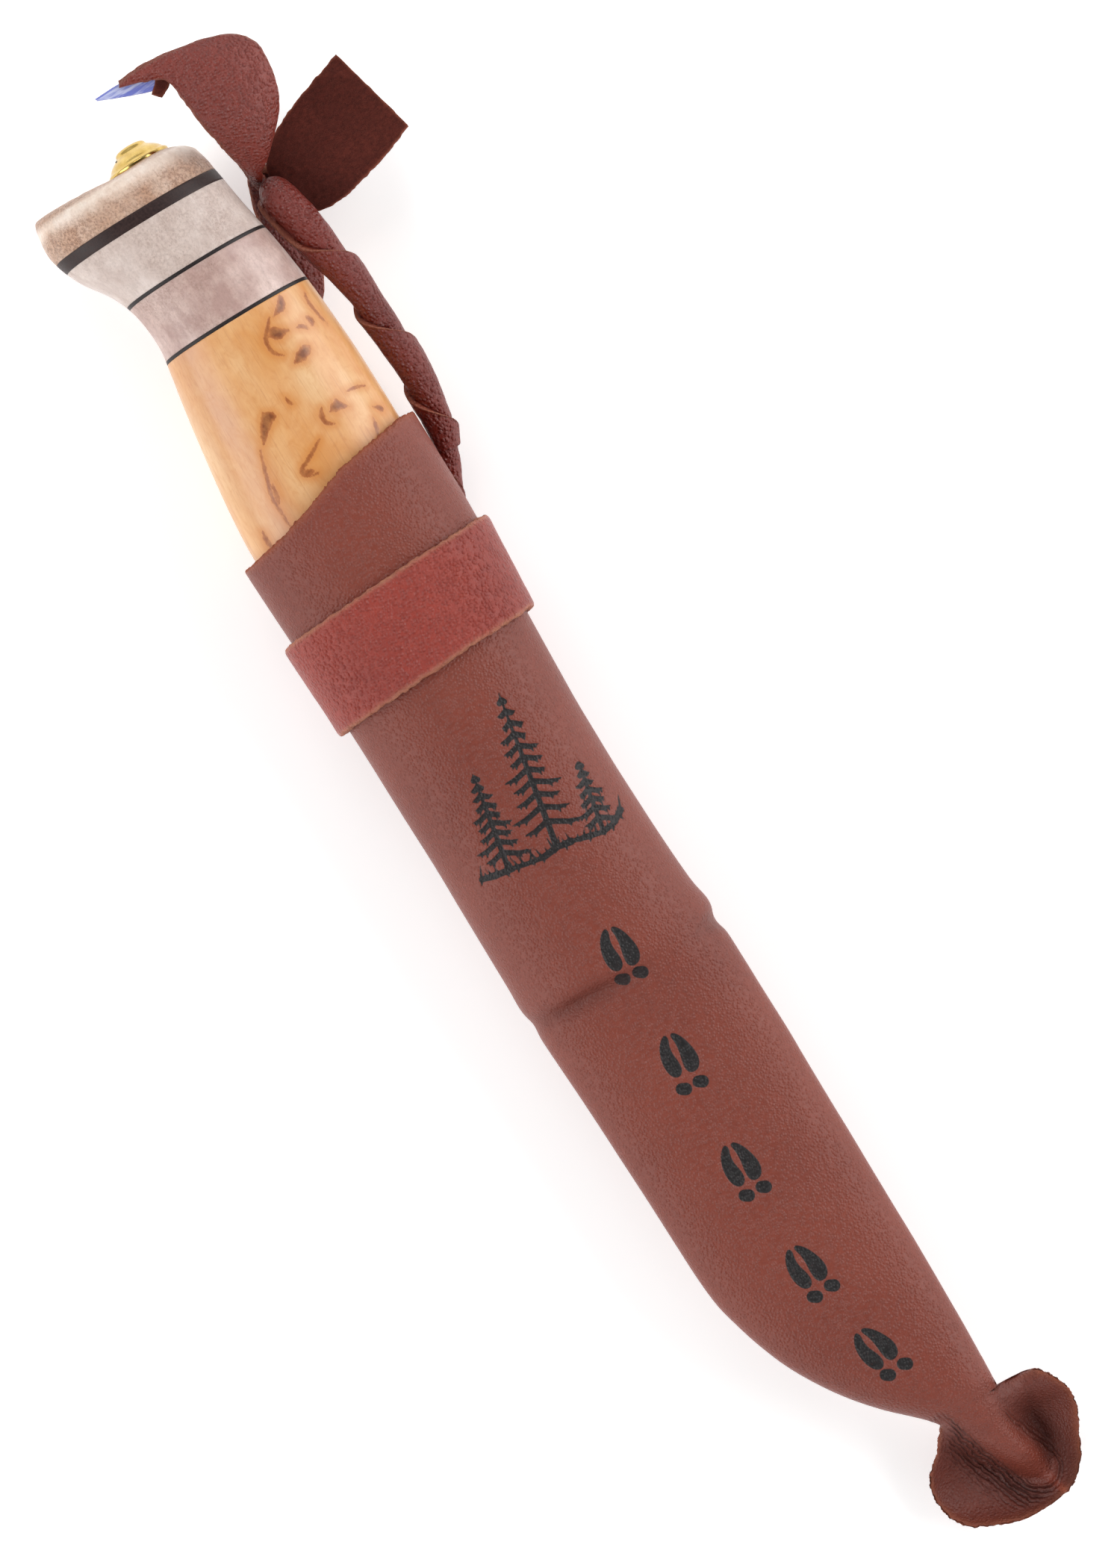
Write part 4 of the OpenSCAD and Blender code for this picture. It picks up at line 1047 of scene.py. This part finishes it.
# ---------------------------------------------------------------- hanger
def ribbon(name, L, R, th, nu, nv, mat, body, nodes=(), bow=0.0, wob=0.12, seed=1, er=0.4, grain=0.05, end_edge=True, twist=None):
    """Strap drawn between two edge lines of (x, y, z) points."""
    L, R = curve(L, nu), curve(R, nu)
    v = 0.5 - 0.5 * np.cos(np.linspace(0, 1, nv) * np.pi)
    v = 0.35 * v + 0.65 * np.linspace(0, 1, nv)
    M = L[:, None] * (1 - v)[None, :, None] + R[:, None] * v[None, :, None]
    wdt = np.linalg.norm(R - L, axis=1)
    du = np.gradient(M, axis=0)
    dv = np.gradient(M, axis=1)
    N = np.cross(du, dv)
    N /= np.maximum(np.linalg.norm(N, axis=-1, keepdims=True), 1e-9)
    if N[..., 2].mean() < 0:
        N = -N
    if bow:
        b = bow if np.ndim(bow) else np.full(nu, bow)
        b = np.interp(np.linspace(0, 1, nu), np.linspace(0, 1, len(b)), b)
        M = M + N * (b[:, None] * (4 * v * (1 - v))[None, :])[..., None]
    M = M + N * (0.18 * fbm(M, 5.0, 2, seed))[..., None]
    dist = np.minimum(v[None, :], 1 - v[None, :]) * wdt[:, None]
    prof = np.sqrt(np.clip(1 - (1 - np.clip(dist / er, 0, 1)) ** 2, 0, 1))
    off = (th / 2) * prof
    top = M + N * (off + grain * fbm(M, 0.8, 3, seed + 3) * prof)[..., None]
    bot = M - N * off[..., None]
    # ragged cut edges
    side = (R - L) / np.maximum(wdt[:, None], 1e-9)
    jag = wob * fbm(M, 0.8, 2, seed + 5) * np.exp(-(dist / 0.5) ** 2)
    top += side[:, None] * jag[..., None]
    bot += side[:, None] * jag[..., None]
    P = np.concatenate([top, bot[:, -2:0:-1]], 1)
    du_end = np.linspace(0, 1, nu)
    fwd = (du / np.maximum(np.linalg.norm(du, axis=-1, keepdims=True), 1e-9))
    jend = 0.14 * fbm(P[-1] * 1.0, 0.7, 2, seed + 7)
    P[-1] += np.concatenate([fwd[-1], fwd[-1][-2:0:-1]]) * jend[:, None]
    V, F = closed(P)
    dall = np.concatenate([dist, dist[:, -2:0:-1]], 1)
    e = np.exp(-(dall / 0.26) ** 2)
    ulen = np.concatenate([[0], np.cumsum(np.linalg.norm(np.diff((L + R) / 2, axis=0), axis=1))])
    if end_edge:
        e = np.maximum(e, np.exp(-((ulen[-1] - ulen) / 0.2) ** 2)[:, None])
    e = np.clip(e * (0.8 + 0.5 * fbm(P, 0.8, 2, seed + 9)), 0, 1)
    return make(name, V, F, mat, body, nodes, {"edge": np.concatenate([e.ravel(), [0.0, 1.0]])})


def frames(path):
    T = np.gradient(path, axis=0)
    T /= np.linalg.norm(T, axis=1, keepdims=True)
    up = np.array([0, 0, 1.0])
    W = np.zeros_like(T)
    U = np.zeros_like(T)
    prev = None
    for i in range(len(T)):
        w = np.cross(up, T[i])
        if prev is None:
            w /= np.linalg.norm(w)
        else:
            w = prev - T[i] * (prev @ T[i])
            w /= np.linalg.norm(w)
        W[i] = w
        U[i] = np.cross(T[i], w)
        prev = w
    return T, W, U


def roll(name, pts, nu, nc, rmin, rstep, pitch, phase_x, mat, nodes=(), seed=1, r_scale=None, cut=None, hold=None):
    """Strap rolled into a tube: one turn of overlap, whose edge winds round it."""
    path = curve(pts, nu)
    T, W, U = frames(path)
    s = np.concatenate([[0], np.cumsum(np.linalg.norm(np.diff(path, axis=0), axis=1))])
    s0 = np.interp(-phase_x, -path[:, 0][: np.argmin(path[:, 0]) + 1], s[: np.argmin(path[:, 0]) + 1])
    wind = 2 * np.pi * (s - s0) / pitch
    if hold:
        # past the last turn the free edge stays on the left side
        wind = np.where(wind > 0, hold * np.tanh(wind / hold), wind)
    th0 = np.pi / 2 + wind
    f = np.concatenate([[0, 0.004, 0.012, 0.024], np.linspace(0.035, 0.97, nc - 8), [0.982, 0.99, 0.996, 0.999]])
    rr = rmin + rstep * np.concatenate([[0.72, 0.93, 1.0, 1.01], np.linspace(1.0, 0.05, nc - 8) ** 1.15, [0.02, -0.05, -0.16, -0.02]])
    rs = np.ones(nu) if r_scale is None else np.interp(np.linspace(0, 1, nu), np.linspace(0, 1, len(r_scale)), r_scale)
    ang = th0[:, None] + 2 * np.pi * f[None, :]
    # world side: W points to -Y side for a path that runs to -X
    P = path[:, None] + (rr * rs[:, None])[..., None] * (np.cos(ang)[..., None] * W[:, None] * -1 + np.sin(ang)[..., None] * U[:, None])
    N = P - path[:, None]
    N /= np.linalg.norm(N, axis=-1, keepdims=True)
    P = P + N * (0.05 * fbm(P, 0.9, 3, seed) + 0.14 * fbm(P, 4.0, 2, seed + 2) * rs[:, None])[..., None]
    if cut is not None:
        P[..., 0] += cut(P, s)
    V, F = closed(P)
    e = np.zeros(nc)
    e[:4] = [0.9, 1.0, 0.6, 0.1]
    E = np.repeat(e[None], nu, 0) * (0.8 + 0.5 * fbm(P, 0.9, 2, seed + 4))
    return make(name, V, F, mat, "hanger", nodes, {"edge": np.clip(np.concatenate([E.ravel(), [0, 0]]), 0, 1)})


# lower strap from the root, which runs up inside the roll
roll("strap_root", [(-7.4, 15.8, 3.2), (-9.5, 16.4, 3.6), (-12.5, 17.6, 4.2), (-16.4, 19.0, 5.2), (-21, 20.4, 7.2), (-26, 20.9, 8.8)],
     90, 60, 1.45, 0.35, 15, -14, strand_mat, (), 101, r_scale=[0.55, 0.8, 1.0, 1.0, 1.05, 1.1])
# rolled strap up to the hook
roll("strap_roll", [(-17.2, 19.5, 6.0), (-21, 20.4, 7.4), (-26, 20.9, 8.9), (-33, 20.9, 10.5), (-41, 20.4, 11.6), (-48, 19.5, 12.2), (-53.5, 18.5, 12.4), (-56.6, 17.8, 12.8), (-58.8, 17.4, 11.8), (-59.6, 17.5, 9.2)],
     330, 96, 1.92, 0.82, 13.3, -48.75, strand_mat, ("strap_twisted_leg",), 111,
     r_scale=[0.75, 0.95, 1.0, 1.0, 1.0, 0.98, 0.98, 1.02, 1.1, 1.18, 1.16, 0.95], hold=1.36)

ribbon("tail_suede", [(-60.4, 17.8, 7.6), (-62.2, 18.2, 7.9), (-64.4, 19.3, 8.6), (-66.4, 22.0, 9.4), (-68.4, 26.5, 10.2), (-69.9, 31.0, 10.4), (-71.1, 34.6, 10.3)],
       [(-56.2, 19.6, 7.2), (-54.8, 20.6, 7.3), (-53.9, 22.3, 7.8), (-53.8, 25.2, 8.6), (-54.5, 29.0, 9.6), (-55.6, 33.0, 10.2), (-57.3, 38.0, 10.3)],
       1.3, 110, 90, suede, "hanger", (), bow=[0.4, 0.9, 0.7, 0.2, -0.3, -0.2, 0.1], seed=121, er=0.25, grain=0.12, wob=0.16)

# flat strap behind the handle and the tail that folds over
ribbon("strap_flat", [(-7.6, 14.9, 1.5), (-13, 12.0, 1.3), (-19, 10.4, 1.1), (-28, 9.6, 1.1), (-37, 9.8, 1.3), (-44, 11.3, 2.4), (-49, 12.6, 4.0), (-54, 13.0, 4.4), (-58.5, 13.6, 3.6), (-62.8, 15.0, 4.6), (-64.4, 16.4, 7.6)],
       [(-7.6, 15.8, 1.5), (-13, 15.6, 1.4), (-19, 14.9, 1.2), (-28, 14.2, 1.2), (-36, 14.2, 1.3), (-42.5, 14.8, 1.9), (-45.4, 16.8, 2.7), (-47.8, 17.7, 3.2), (-50.2, 17.3, 3.2), (-53.8, 16.6, 2.6), (-58.5, 18.0, 2.6), (-60.8, 19.2, 4.4), (-61.9, 19.9, 7.6)],
       1.4, 190, 48, strand_mat, "hanger", ("strap_flat_leg",), bow=[0, 0, 0, 0, 0.2, 0.8, 1.0, 0.8, 0.4, 0.1], seed=131, er=0.5)
ribbon("tail_grain", [(-61.2, 15.6, 6.6), (-63.0, 15.3, 10.6), (-64.2, 15.2, 15.0), (-66.6, 14.6, 19.0), (-70.6, 13.8, 22.0), (-74.7, 13.3, 23.2), (-78.3, 13.0, 22.9), (-79.6, 11.6, 22.6), (-80.9, 8.6, 22.3), (-81.5, 6.9, 22.1)],
       [(-61.6, 17.6, 6.8), (-63.2, 17.5, 10.8), (-64.6, 18.7, 14.6), (-66.3, 21.9, 17.4), (-68.8, 24.5, 19.2), (-73.2, 26.0, 21.0), (-77.6, 25.7, 21.8), (-80.3, 22.4, 22.6), (-81.7, 16.6, 23.4), (-82.3, 11.2, 23.4), (-82.1, 7.2, 22.6)],
       1.3, 170, 90, tail_mat, "hanger", (), bow=[0.2, 0.9, 1.6, 2.2, 2.4, 1.9, 1.0, 0.5, 0.2], seed=141, er=0.4)

ribbon("tail_corner", [(-78.5, 13.3, 22.5), (-77.9, 12.5, 22.2), (-77.2, 11.1, 22.0)], [(-80.6, 12.7, 22.6), (-79.8, 11.6, 22.3), (-78.3, 10.1, 22.0)],
       0.5, 20, 14, suede, "hanger", (), seed=161, er=0.2, wob=0.1, grain=0.05)
ribbon("tag_film", [(-78.2, 12.2, 22.0), (-78.9, 9.6, 21.9), (-80.2, 6.2, 21.9), (-81.4, 3.3, 22.1)],
       [(-80.6, 12.6, 22.3), (-81.6, 9.8, 22.2), (-81.9, 6.6, 22.1), (-81.8, 3.2, 22.2)],
       0.3, 40, 16, film, "hanger", ("tag_film",), seed=151, er=0.1, wob=0.0, grain=0.0, end_edge=False)

# ---------------------------------------------------------------- carried-over nodes
for node, m in (("blade", steel), ("blade_liner", liner), ("seam_thread", thread)):
    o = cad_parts[node]
    if not o.material_slots:
        o.data.materials.append(m)
    for sl in o.material_slots:
        sl.material = m
